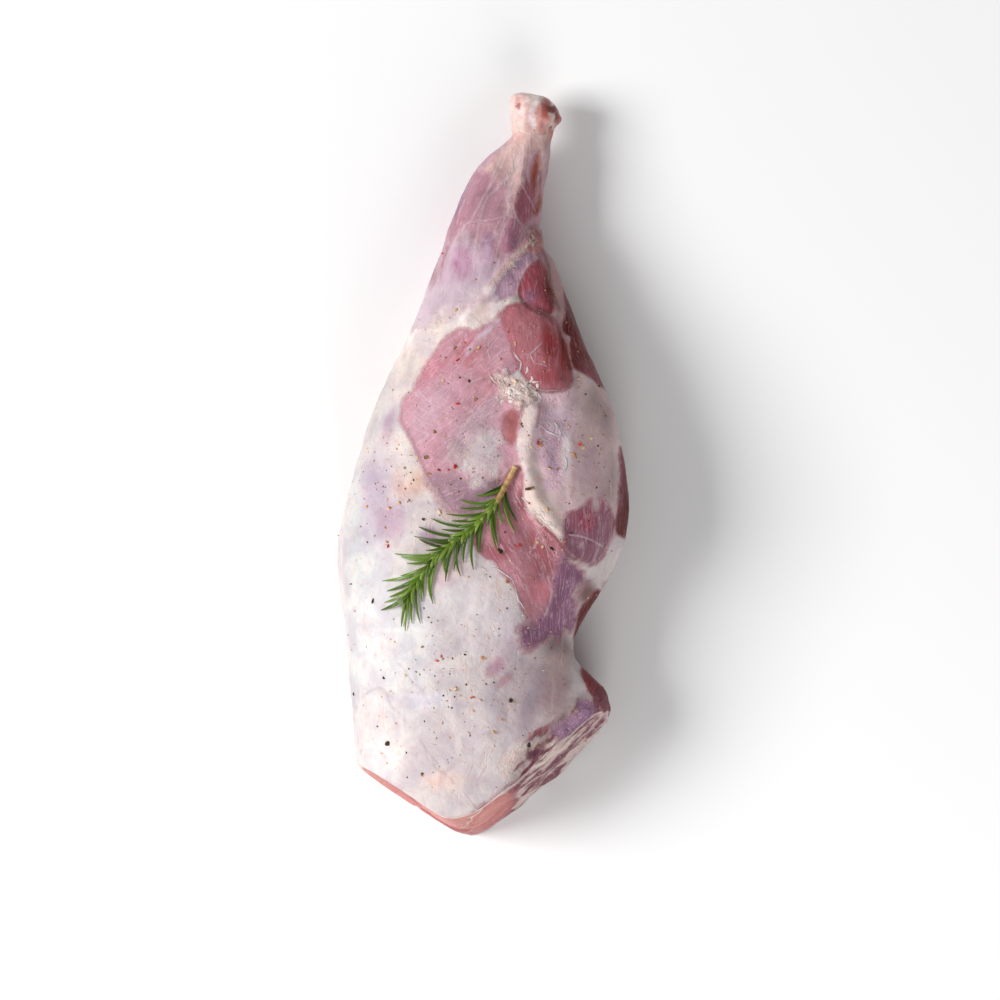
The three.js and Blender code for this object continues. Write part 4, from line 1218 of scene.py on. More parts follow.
class FleshLook:
    """Raw lamb as the butcher leaves it: rose muscle under milky fat and silverskin, damp all over.

    Sizes of patterns are in millimetres, or scales per millimetre where they are stretched along the fibres.
    """

    FINISH = Finish(
        "raw_lamb_muscle_and_fat_trimmed_with_a_knife", 0.42, 0.08, (2.6, 1.1, 0.8), 0.0, 0.25, specular=0.12
    )
    SCALARS = ("cover", "film", "veil", "torn", "strand", "strand_show", "marble")

    def stretched(
        self, way: Any, scale: Triple, detail: float, rough: float = 0.5, warp: float = 0.0, turn: float = 0.0
    ) -> Any:
        """Adds a pattern of noise that is drawn out along one axis.

        Args:
            way: The socket with the places.
            scale: How many cells a unit has along each axis.
            detail: How many finer sizes of noise are added.
            rough: How strong each finer size is.
            warp: How far the noise bends itself.
            turn: The turn about +Z of the axes, in radians.

        Returns:
            The pattern's socket, from 0 to 1.
        """
        place = self.add("Mapping", {"Vector": way, "Scale": scale, "Rotation": (0.0, 0.0, turn)})
        sockets = {"Vector": place, "Scale": 1.0, "Detail": detail, "Roughness": rough, "Distortion": warp}
        return self.add("TexNoise", sockets)

    def line(self, value: Any, middle: float, edge: float, core: float) -> Any:
        """Adds a thin line where a value passes its middle: 1 as near as core and 0 from edge on."""
        away = self.add("Math", (value, middle), **MINUS)
        away = self.add("Math", (away,), operation="ABSOLUTE")
        return self.add("MapRange", (away, edge, core), **SMOOTH)

    def wash(self, colour: Any, share: Any, tint: Triple) -> Any:
        """Blends a colour towards itself times a tint, by a share."""
        tinted = self.add("VectorMath", (colour, tint), **TIMES)
        return self.add("Mix", {0: share, 6: colour, 7: tinted}, **BLEND)

    def build(self) -> bpy.types.Material:
        """Builds the flesh's material from the values painted on the leg's points."""
        material, add, shader = self.FINISH.start()
        self.add = add
        place = add("TexCoord", out="Object")
        read = {name: add("Attribute", out="Fac", attribute_name=name) for name in self.SCALARS}
        meat, fat = (add("Attribute", out="Color", attribute_name=name) for name in ("meat_tone", "fat_tone"))
        fibre = add("Attribute", out="Vector", attribute_name="fibre")
        mild = add("TexNoise", {"Vector": place, "Scale": 1 / (3.2 * MM), "Detail": 4.0, "Roughness": 0.6})
        fine = add("TexNoise", {"Vector": place, "Scale": 1 / (0.9 * MM), "Detail": 2.0})

        # Torn edges of the cover: two sizes of noise shift the painted depth before it is cut at zero.
        shift = add("Math", (mild, 2.6, read["cover"]), **TIMES_PLUS)
        shift = add("Math", (fine, 0.9, shift), **TIMES_PLUS)
        depth = add("Math", (shift, 1.75), **MINUS)
        is_fat = add("MapRange", (depth, -0.2, 0.25), **SMOOTH)
        thick = add("MapRange", (depth, 0.1, 2.4), **SMOOTH)

        # Muscle: streaks and threads along the fibres, marbling on the cut, and clouds of silvery film.
        streak = self.stretched(fibre, (1.15, 0.1, 1.0), 5.0, 0.62)
        patchy = add("TexNoise", {"Vector": place, "Scale": 1 / (11 * MM), "Detail": 4.0, "Roughness": 0.55})
        grain = add("MapRange", (streak, 0.28, 0.72, 0.88, 1.12))
        level = add("MapRange", (patchy, 0.3, 0.7, 0.86, 1.14))
        level = add("Math", (level, grain), **TIMES)
        muscle = add("VectorMath", (meat, level), **TIMES)
        pale = add("Math", (read["film"], 1.2, 0.1), **TIMES_PLUS)
        smooth_film = add("MapRange", (read["film"], 0.44, 0.6, 1.0, 0.16), **SMOOTH)
        pale = add("Math", (pale, smooth_film), **TIMES)
        apart = add("Mapping", {"Vector": fibre, "Scale": (0.3, 0.03, 0.3), "Location": (7.0, 3.0, 1.0)})
        thread = add("TexNoise", {"Vector": apart, "Scale": 1.0, "Detail": 4.0, "Distortion": 0.5})
        thread = add("Math", (self.line(thread, 0.5, 0.016, 0.002), pale), **TIMES)
        thread = add("Math", (thread, 0.9), **TIMES)
        muscle = add("Mix", {0: thread, 6: muscle, 7: (0.74, 0.5, 0.56, 1)}, **BLEND)
        cross = self.stretched(fibre, (0.17, 0.04, 0.2), 5.0, warp=0.7, turn=0.9)
        cross = add("Math", (self.line(cross, 0.5, 0.013, 0.002), pale), **TIMES)
        muscle = add("Mix", {0: cross, 6: muscle, 7: (0.7, 0.47, 0.54, 1)}, **BLEND)
        sockets = {"Scale": 1 / (5.5 * MM), "Detail": 5.0, "Roughness": 0.7, "Distortion": 1.2}
        fleck = add("TexNoise", {"Vector": place, **sockets})
        fleck = add("MapRange", (fleck, 0.56, 0.66), **SMOOTH)
        fleck = add("Math", (fleck, read["marble"]), **TIMES)
        fleck = add("Math", (fleck, 0.6), **TIMES)
        muscle = add("Mix", {0: fleck, 6: muscle, 7: (0.72, 0.5, 0.44, 1)}, **BLEND)
        cloud = self.stretched(fibre, (0.16, 0.075, 0.15), 6.0, 0.62, 0.8)
        level = add("Math", (read["film"], -0.42, 0.74), **TIMES_PLUS)
        over = add("Math", (cloud, level), **MINUS)
        film = add("MapRange", (over, -0.06, 0.24, 0.0, 0.78), **SMOOTH)
        milky = add("Mix", {0: 0.6, 6: muscle, 7: (0.64, 0.5, 0.57, 1)}, **BLEND)
        muscle = add("Mix", {0: film, 6: muscle, 7: milky}, **BLEND)

        # A film that is see-through opens up in streaks.
        web = self.stretched(fibre, (0.34, 0.16, 0.3), 9.0, 0.75, 1.4)
        closed = add("Math", (web, read["veil"]), operation="ADD")
        whole = add("MapRange", (closed, 0.93, 1.25), **SMOOTH)

        # Fat: mottled, pinker where it is thin, with fine pinkish creases that run down the leg, whose darker
        # lines are painted shade.
        sockets = {"Scale": 1 / (17 * MM), "Detail": 6.0, "Roughness": 0.6, "Distortion": 0.6}
        mottle = add("TexNoise", {"Vector": place, **sockets})
        shade = add("MapRange", (mottle, 0.35, 0.65), **SMOOTH)
        cooler = add("VectorMath", (fat, (0.87, 0.81, 0.84)), **TIMES)
        warmer = add("VectorMath", (fat, (1.08, 1.04, 0.99)), **TIMES)
        cover = add("Mix", {0: shade, 6: cooler, 7: warmer}, **BLEND)
        sockets = {"Scale": 1 / (8 * MM), "Detail": 6.0, "Roughness": 0.62, "Distortion": 1.0}
        flush = add("TexNoise", {"Vector": place, **sockets})
        flush = add("MapRange", (flush, 0.5, 0.68, 0.0, 0.5), **SMOOTH)
        cover = self.wash(cover, flush, (0.95, 0.78, 0.76))
        crease = self.stretched(place, (52.0, 22.0, 52.0), 5.0, 0.55, 0.7, -0.35)
        crease = self.line(crease, 0.5, 0.014, 0.002)
        here = add("MapRange", (mottle, 0.4, 0.6, 0.04, 0.34), **SMOOTH)
        crease = add("Math", (crease, here), **TIMES)
        cover = add("Mix", {0: crease, 6: cover, 7: (0.7, 0.45, 0.38, 1)}, **BLEND)
        scratch = self.stretched(place, (130.0, 22.0, 130.0), 3.0, warp=0.6, turn=0.5)
        scratch = add("MapRange", (scratch, 0.62, 0.75, 0.0, 0.25), **SMOOTH)
        cover = add("Mix", {0: scratch, 6: cover, 7: (0.93, 0.86, 0.87, 1)}, **BLEND)
        grit = add("MapRange", (fine, 0.3, 0.75, 0.965, 1.02), **SMOOTH)
        cover = add("VectorMath", (cover, grit), **TIMES)
        see_through = add("Math", (thick, -0.8, 0.8), **TIMES_PLUS)
        cover = add("Mix", {0: see_through, 6: cover, 7: muscle}, **BLEND)

        # Sinews are pale lines at the painted distance, a little uneven, and creases are dark lines of
        # painted shade.
        bent = add("Math", (fine, 0.5, read["strand"]), **TIMES_PLUS)
        broken = add("MapRange", (web, 0.34, 0.56, 0.25, 1.0), **SMOOTH)
        strand = add("Math", (self.line(bent, 0.25, 0.75, 0.2), broken), **TIMES)
        strand = add("Math", (strand, read["strand_show"]), **TIMES)
        is_fat = add("Math", (is_fat, whole), **TIMES)
        colour = add("Mix", {0: is_fat, 6: muscle, 7: cover}, **BLEND)
        raised = add("Math", (strand, 0.0), operation="MAXIMUM")
        sunk = add("Math", (strand, -1.0), **TIMES)
        sunk = add("Math", (sunk, 0.0), operation="MAXIMUM")
        colour = add("Mix", {0: raised, 6: colour, 7: (0.68, 0.52, 0.57, 1)}, **BLEND)
        # Painted shade in the creases: the colour darkens towards a deep brown-red where a crease is drawn.
        colour = self.wash(colour, sunk, (0.36, 0.17, 0.15))

        # Torn flesh is crumpled: sharp pale folds, with painted shade, darker and pinker, in the hollows
        # between them.
        sockets = {"Scale": 1 / (8.0 * MM), "Detail": 6.0, "Roughness": 0.62, "Distortion": 2.2}
        fold = self.line(add("TexNoise", {"Vector": place, **sockets}), 0.5, 0.16, 0.0)
        fold = add("Math", (fold, read["torn"]), **TIMES)
        hollow = add("Math", (read["torn"], fold), **MINUS)
        hollow = add("Math", (hollow, 0.3), **TIMES)
        colour = self.wash(colour, hollow, (0.7, 0.44, 0.42))

        # Relief finer than the mesh, in millimetres: each pattern times its height.
        height = add("Math", (is_fat, 0.25), **TIMES)
        bare = add("Math", (is_fat, -0.3, 0.33), **TIMES_PLUS)
        swell = add("TexNoise", {"Vector": place, "Scale": 1 / (7 * MM), "Detail": 3.0, "Distortion": 0.8})
        steps = ((streak, bare), (swell, 0.8), (fine, 0.14), (crease, -0.4), (fold, 1.2), (strand, 0.4))
        for pattern, rise in steps:
            height = add("Math", (pattern, rise, height), **TIMES_PLUS)
        normal = add("Bump", {"Strength": 0.7, "Distance": MM, "Height": height})
        gloss = add("MapRange", (mottle, 0.3, 0.7, 0.34, 0.5), **SMOOTH)
        for socket, name in ((colour, "Base Color"), (normal, "Normal"), (gloss, "Roughness")):
            material.node_tree.links.new(socket, shader.inputs[name])
        return material


class Ground:
    """Finds the leg's finished upper surface below plan positions."""

    def __init__(self, leg: bpy.types.Object) -> None:
        """Takes the finished leg."""
        self.tree = BVHTree.FromObject(leg, bpy.context.evaluated_depsgraph_get())

    def drop(self, plan: Array) -> tuple[Array, Array]:
        """Drops plan positions straight down onto the leg.

        Args:
            plan: Positions in millimetres, one row each.

        Returns:
            The points where they land, at z 0 beside the leg, and the surface's outward directions there.
        """
        down = Vector((0, 0, -1))
        hits = [self.tree.ray_cast(Vector((x * MM, y * MM, 0.5)), down)[:2] for x, y in plan]
        points = [(x, y, hit[0].z / MM if hit[0] else 0.0) for (x, y), hit in zip(plan, hits)]
        return np.array(points), np.array([tuple(hit[1]) if hit[0] else (0, 0, 1) for hit in hits])

    def height(self, x: float, y: float) -> float:
        """Gives the height of the surface at one plan position."""
        return float(self.drop(np.array([(x, y)]))[0][0, 2])


def rings_along(path: Array, up: Array, wide: Array, high: Array, columns: int) -> Array:
    """Carries an oval section along a path.

    At each point the section's first axis is the up direction crossed with the way ahead, and its second is
    the way ahead crossed with the first. A column is at wide times the cosine and high times the sine.

    Args:
        path: The section's middles.
        up: A direction away from the ground at each point.
        wide: Half width at each point.
        high: Half height at each point.
        columns: Points round the section.

    Returns:
        Points as rings, columns and three coordinates.
    """
    ahead = np.gradient(path, axis=0)
    ahead /= np.linalg.norm(ahead, axis=1, keepdims=True)
    side = np.cross(up, ahead)
    side /= np.linalg.norm(side, axis=1, keepdims=True)
    top = np.cross(ahead, side)
    a = 2 * math.pi * np.arange(columns) / columns
    across = side[:, None] * (wide[:, None] * np.cos(a))[..., None]
    return path[:, None] + across + top[:, None] * (high[:, None] * np.sin(a))[..., None]


@dataclass(frozen=True)
class Ribbon:
    """A raised sinew or a torn edge of film: its path, half width, height and tone."""

    path: Path
    half: float
    high: float
    tone: str
    ragged: float = 0.35


# Half width, height, tone, then the path.
RIBBONS = [Ribbon(path, half, high, tone) for half, high, tone, *path in table("""
0.45 0.25 #ccbec5 -3.5,-53.6 -1,-57 1.5,-59 5.5,-57.2 10,-59.6 14.6,-63 16.8,-68
0.4 0.35 #ccbcc5 16.8,-68 18.6,-74 22.4,-80.4
1 0.5 #baaca9 52,-156 45.4,-160.4 41,-165.4 36,-171.4
0.5 0.3 #c7b6bd 15.8,61.4 18.1,58.3 19.9,55.9 19.6,52.9 18.7,50.5
0.34 0.18 #bea6af 19.3,58.9 21.7,60.1 24.7,60.4 26.5,61.9 28.9,64.4 31.3,66.5 31.9,68
0.32 0.16 #b998a1 25.6,61.9 25.6,59.5 26.8,56.5 27.7,55 31.3,55 34.6,53.3
0.5 0.32 #cec1c3 23.6,53.8 23.5,51.7 22.2,49.3
0.4 0.22 #bca5ab 21.7,48.1 23.6,45.7 25.3,43.9 27.7,41.5 32.5,40.4 37.2,40.3 40.8,40.1
0.6 0.45 #d2c6c4 24.4,37.3 25.9,38.8 28,39.6 30.1,37.9 30.9,35.3 27.6,33.2
0.4 0.3 #beacab 23.5,37.3 25.3,36.1 27.1,36.4 28.9,35.2
0.45 0.3 #c7baba 19.9,45.1 21.7,43.3 23.5,40.3 24.4,37.9
0.5 0.3 #c0aeab 11.6,43.3 9.8,45.7 10.4,48.1 13.4,48.7 15.8,48.1
0.5 0.3 #ccbcb7 6.5,38.5 9.2,36.7 12.2,37.9 14.5,36.1 16.9,34.3
0.45 0.25 #c3b1ab 2.6,49.9 5,45.7 7.4,43.9
0.55 0.35 #cdc3c5 29.7,22.1 32.4,19.4 36,17 39.6,15.7 41.7,16 41.1,19.4
0.36 0.28 #c0b4b8 41.1,19.4 39,21.8 37.3,23.9 35.7,22.4 33.6,25.1 31.5,26
0.34 0.25 #bcafb4 37.2,17 38.1,19.4 37.2,21.8
0.6 0.3 #c9bebd 43.2,5.6 44.8,2.6 44.9,-0.8 43.6,-4.4
0.55 0.35 #c8b5ad 21.3,-23.9 25.5,-27 29.6,-30.3 35.8,-35.8 42.1,-41.7
0.9 0.5 #baaaa6 60.6,-154.3 54.3,-160.6 48.6,-166 42.1,-171.4 35.2,-175.4
0.9 0.6 #c4b8b6 37.3,-169.3 36.3,-172.5 35.2,-175.8
0.6 0.4 #beafad 31.1,-178.5 28.2,-181.5 24.8,-185.8 21.9,-189.5
0.6 0.35 #ac9798 18.4,-189.5 16.7,-192.8 15,-196.7 11.5,-198.3
0.8 0.6 #c3b8b8 50.5,-156.4 52.4,-158.7 51.3,-161.9 46.6,-164.6
0.6 0.35 #beaca3 10.9,-191.5 12.6,-190.8 12.1,-193.2
0.5 0.35 #beb1b6 14.3,-180.6 16,-182.4 14.9,-183.6
""")]


@dataclass(frozen=True)
class Scraps:
    """Shreds of fat and film in an oval: its middle, half length and half width, its turn from +Y towards
    +X, their number, length, half width and tone, and how far they keep to its direction, from 0 to 1."""

    at: Plan
    half: Plan
    turn: float
    count: int
    length: float
    size: float
    tone: str
    along: float = 0.3


SCRAPS = [
    Scraps((18, 40), (8, 6), 40, 10, 5.0, 0.8, "#f0dcd5", 0.2),
    Scraps((26, 41), (5, 3), -40, 6, 4.5, 0.6, "#eedad4"),
    Scraps((38, -166), (32, 4.0), 40, 9, 9, 1.5, "#c8b6b2", 0.95),
    Scraps((29, 124), (7, 3), 20, 8, 4.5, 0.7, "#b09890", 0.6),
    Scraps((14, 110), (19, 1.8), 44, 14, 9, 0.45, "#c4aea6", 0.95),
    Scraps((38, 17), (9, 5), 0, 8, 4, 0.4, "#bfb1b5", 0.5),
    Scraps((32, -29), (14, 2.0), -48, 10, 7, 0.7, "#d5c1b9", 0.95),
    Scraps((-2, 27), (14, 3), 50, 14, 9, 0.2, "#c8b0bb", 0.95),
    Scraps((13, 152), (18, 3), 12, 14, 9, 0.36, "#cdb8b2", 0.95),
    Scraps((12, -186), (12, 4), 50, 8, 6, 0.7, "#b79c9b", 0.85),
]


class Sinews:
    """Raised sinews, torn film and fat edges on the upper side, joined in one piece."""

    STEEPEST = 0.4

    def __init__(self, ground: Ground) -> None:
        """Takes the surface that they lie on."""
        self.ground = ground
        self.rough, self.pick = Noise(21), np.random.default_rng(22)

    def lay(self, shape: Shape, ribbon: Ribbon) -> None:
        """Lays one ribbon: an oval section, half sunk in the surface, that wanders a little, swells and
        thins by noise and tapers to nothing at both ends. One that would run down a steep side is left out.

        Args:
            shape: What the ribbon is added to.
            ribbon: Its path and size.
        """
        bare = smooth_path(ribbon.path, 8)
        count = max(int(np.linalg.norm(np.diff(bare, axis=0), axis=1).sum() / 0.55), 8)
        plan = even_path(bare, count)
        spot = np.column_stack([plan, np.zeros(count)])
        drift = np.stack([self.rough.at(spot + k, 3.0, 2) for k in (0.0, 50.0)], 1)
        plan = plan + ribbon.ragged * drift
        points, up = self.ground.drop(plan)
        if up[:, 2].min() < self.STEEPEST:
            return
        t = np.linspace(0, 1, count)
        taper = np.sqrt(np.clip(np.sin(math.pi * t), 0, 1)) * (1 + 0.55 * self.rough.at(spot + 9.0, 2.2, 2))
        wide = ribbon.half * np.maximum(taper, 0.05)
        high = ribbon.high * np.maximum(taper, 0.05)
        tone = np.clip(linear(ribbon.tone) * (1 + 0.16 * self.rough.at(spot, 4.0, 3))[:, None], 0, 1)
        shape.tube(rings_along(points, up, wide, high, 8), tone=tone)

    def shred(self, scraps: Scraps) -> list[Ribbon]:
        """Draws the ribbons of one group of shreds: bent paths of four points, strewn evenly in the oval."""
        made, turn = [], math.radians(scraps.turn)
        for _ in range(scraps.count):
            out, round_it = math.sqrt(self.pick.random()), 2 * math.pi * self.pick.random()
            u, v = scraps.half[0] * out * math.cos(round_it), scraps.half[1] * out * math.sin(round_it)
            x = scraps.at[0] + u * math.sin(turn) + v * math.cos(turn)
            y = scraps.at[1] + u * math.cos(turn) - v * math.sin(turn)
            way = turn + (1 - scraps.along) * math.pi * self.pick.uniform(-1, 1)
            step, bend = scraps.length * self.pick.uniform(0.5, 1.3) / 3, self.pick.uniform(-0.6, 0.6)
            path = [(x, y)]
            for _ in range(3):
                path.append((path[-1][0] + step * math.sin(way), path[-1][1] + step * math.cos(way)))
                way += bend
            size = scraps.size * self.pick.uniform(0.5, 1.3)
            made.append(Ribbon(path, size, size * self.pick.uniform(0.25, 0.5), scraps.tone, 0.7))
        return made

    def build(self, material: bpy.types.Material) -> bpy.types.Object:
        """Builds all the ribbons and shreds."""
        shape = Shape()
        for ribbon in RIBBONS:
            self.lay(shape, ribbon)
        for scraps in SCRAPS:
            for ribbon in self.shred(scraps):
                self.lay(shape, ribbon)
        return hand_over(shape.mesh_object("sinews_and_torn_film", material), "meat_and_fat")


@dataclass(frozen=True)
class ToneLook:
    """A moist natural material whose colour is painted on the points and mottled by noise.

    The mottling has two sizes in millimetres, and the second tone shows by the given share where it is high.
    """

    finish: Finish
    coarse: float
    fine: float
    second: str
    share: float
    bump: float

    def build(self) -> bpy.types.Material:
        """Builds the material."""
        material, add, shader = self.finish.start()
        place = add("TexCoord", out="Object")
        tone = add("Attribute", out="Color", attribute_name="tone")
        coarse = add("TexNoise", {"Vector": place, "Scale": 1 / (self.coarse * MM), "Detail": 4.0})
        fine = add("TexNoise", {"Vector": place, "Scale": 1 / (self.fine * MM), "Detail": 3.0})
        high = add("MapRange", (coarse, 0.42, 0.7, 0.0, self.share), **SMOOTH)
        colour = add("Mix", {0: high, 6: tone, 7: rgba(self.second)}, **BLEND)
        level = add("MapRange", (fine, 0.25, 0.75, 0.84, 1.12))
        colour = add("VectorMath", (colour, level), **TIMES)
        height = add("Math", (coarse, 1.5, fine), **TIMES_PLUS)
        normal = add("Bump", {"Strength": 0.7, "Distance": self.bump * MM, "Height": height})
        shader.id_data.links.new(colour, shader.inputs["Base Color"])
        shader.id_data.links.new(normal, shader.inputs["Normal"])
        return material


# Silverskin pulled off with a knife is a thin wet membrane, so it is milky, a little see-through and glossy.
SILVERSKIN = ToneLook(
    Finish("wet_silverskin", 0.45, 0.2, (1.5, 1.0, 0.9), 0.05, 0.25, specular=0.2),
    3.0, 0.8, "#d9c3c8", 0.4, 0.12,
)
# A sawn knuckle with tendon on it is dense and damp, so it is pale and waxy, with pink tissue in patches.
DAMP_BONE = ToneLook(
    Finish("damp_bone_and_tendon", 0.45, 0.1, (1.8, 1.0, 0.8), 0.06, 0.25, specular=0.2),
    4.0, 0.9, "#cf9f98", 0.45, 0.25,
)
# Rosemary's leathery needles have a wax skin, so they have a soft sheen and a little light comes through.
FRESH_LEAF = ToneLook(
    Finish("fresh_rosemary", 0.36, 0.03, (0.5, 0.8, 0.3), 0.1, 0.2, specular=0.35),
    5.0, 0.6, "#4a6a10", 0.3, 0.05,
)
# Cracked peppercorns are dry and woody, so they are matt, with darker husk in specks.
PEPPERCORNS = {
    kind: ToneLook(Finish(f"cracked_{kind.value}corn", 0.7), 0.8, 0.3, second, 0.4, 0.06)
    for kind, second in ((Spice.BLACK, "#6b4626"), (Spice.CREAM, "#8a5a2c"), (Spice.RED, "#8f1613"))
}

# Tendon and tissue on the knuckle: centre, half sizes, turn, tone, strength.
BONE_MARKS = """
31.8,196 13,5.6 8 #cb8a83 0.85
34.6,198.5 7,3 12 #ad5149 0.8
31.8,184 8,3.4 4 #c48d86 0.8
26.2,195 12,2.6 2 #e9dcde 0.7
23.4,193 10,2.2 0 #cfa29c 0.6
38.6,200.4 2.6,5.2 -28 #7d2a25 0.95
41,196.6 5,2.2 0 #8a3a34 0.85
37.8,195.6 2.4,2 10 #ecd0ca 0.8
19.2,200.8 2.8,1.8 10 #a84f48 0.85
17.6,204 3,1.6 20 #c58780 0.7
27,206.8 2,5 0 #f3e6e2 0.8
28.5,204 3,4.5 0 #f6e8e5 0.9
20.5,205 2.6,2.2 30 #dcb0aa 0.7
42,188 14,3.2 0 #a9625c 0.8
"""


class ShankBone:
    """The shank's knuckle, which stands out of the meat with tendon and tissue on it, and its shaft."""

    RINGS, COLUMNS = 150, 96

    def __init__(self) -> None:
        """Sets up the roughness."""
        self.rough = Noise(31)

    def rings(self) -> Array:
        """Gives the bone's points: ovals along y with two lobes at the knuckle, slanted so that the left
        lobe reaches further. Tendons are low ridges along it and lumps are noise."""
        y = mix(BONE_SECTIONS[0, 0], BONE_SECTIONS[-1, 0], np.linspace(0, 1, self.RINGS) ** 1.9)
        x, z, wide, high = (v[:, None] for v in through(BONE_SECTIONS, y).T)
        angle = 2 * math.pi * np.arange(self.COLUMNS)[None] / self.COLUMNS
        lobed = smoothstep(188, 199, y)[:, None]
        lobe = 1 + 0.091 * lobed * np.cos(2 * angle)
        slant = -0.18 * lobed * np.cos(angle) * wide
        points = np.stack([x + wide * np.cos(angle) * lobe, y[:, None] + slant, z + high * np.sin(angle)], 2)
        level = np.zeros(slant.shape)
        out = np.stack([np.cos(angle) + level, level, np.sin(angle) + level], 2)
        flat = points.reshape(-1, 3)
        lumps = 0.55 * self.rough.at(flat, 5.0, 3).reshape(len(y), -1)
        ridges = level
        for place, half, rise in ((1.95, 0.2, 0.7), (1.5, 0.14, -0.5), (0.95, 0.16, 0.5), (0.62, 0.12, -0.6)):
            ridges = ridges + rise * np.exp(-(((angle - place) / half) ** 2))
        fade = smoothstep(182, 190, y)[:, None]
        ridges = ridges * smoothstep(205, 198, y)[:, None]
        return points + out * ((lumps + ridges) * fade)[..., None]

    def build(self, material: bpy.types.Material) -> bpy.types.Object:
        """Builds the bone with its painted marks."""
        rings = self.rings()
        flat = rings.reshape(-1, 3)
        upper = smoothstep(14, 24, flat[:, 2])
        tone = np.tile(linear("#e4cdc8"), (len(flat), 1))
        tone = mix(tone, linear("#e0bfb8"), (smoothstep(0, 0.6, self.rough.at(flat, 7.0, 3)) * 0.5)[:, None])
        bare = smoothstep(187, 199, flat[:, 1] + 3 * self.rough.at(flat, 6.0, 2)) * (0.4 + 0.6 * upper)
        tone = mix(linear("#d9bfb8"), tone, bare[:, None])
        wobble = 1.2 * np.stack([self.rough.at(flat + k, 4.0, 3) for k in (3.0, 70.0)], 1)
        for at, half, turn, mark, strength in table(BONE_MARKS):
            d = oval_distance(flat[:, :2] + wobble, at, half, turn)
            tone = mix(tone, linear(mark), (strength * upper * (1 - smoothstep(0.55, 1.1, d)))[:, None])
        y0, y1 = BONE_SECTIONS[0, 0], BONE_SECTIONS[-1, 0]
        tips = np.array([[26.4, y0 - 0.2, 23.0], [10.0, y1 - 1.5, 44.0]])
        shape = Shape()
        shape.tube(rings, tips, tone=tone.reshape(rings.shape))
        return hand_over(shape.mesh_object("shank_bone_knuckle", material), "bone", "shank_bone")


@dataclass(frozen=True)
class SprigSizes:
    """The rosemary's stem and needles, in the solid's sizes, and the finer grid of the looks."""

    stem: Path = (
        (16.8, -1.4), (12.3, -10.4), (6.2, -21), (-3.9, -32.2),
        (-16.8, -42.8), (-29.7, -54), (-37.5, -65), (-43.7, -74.8),
    )
    stem_thick: float = 1.7
    stem_thin: float = 0.8
    gap: float = 0.5
    pairs: int = 23
    bare: float = 0.1
    shortest: float = 13
    longest: float = 25
    spread: float = 30
    bend: float = 30
    jitter: float = 14
    half_width: float = 0.8
    tufts: int = 44
    half_thick: float = 0.5
    steps: int = 5
    seed: int = 12
    rings: int = 22
    columns: int = 14


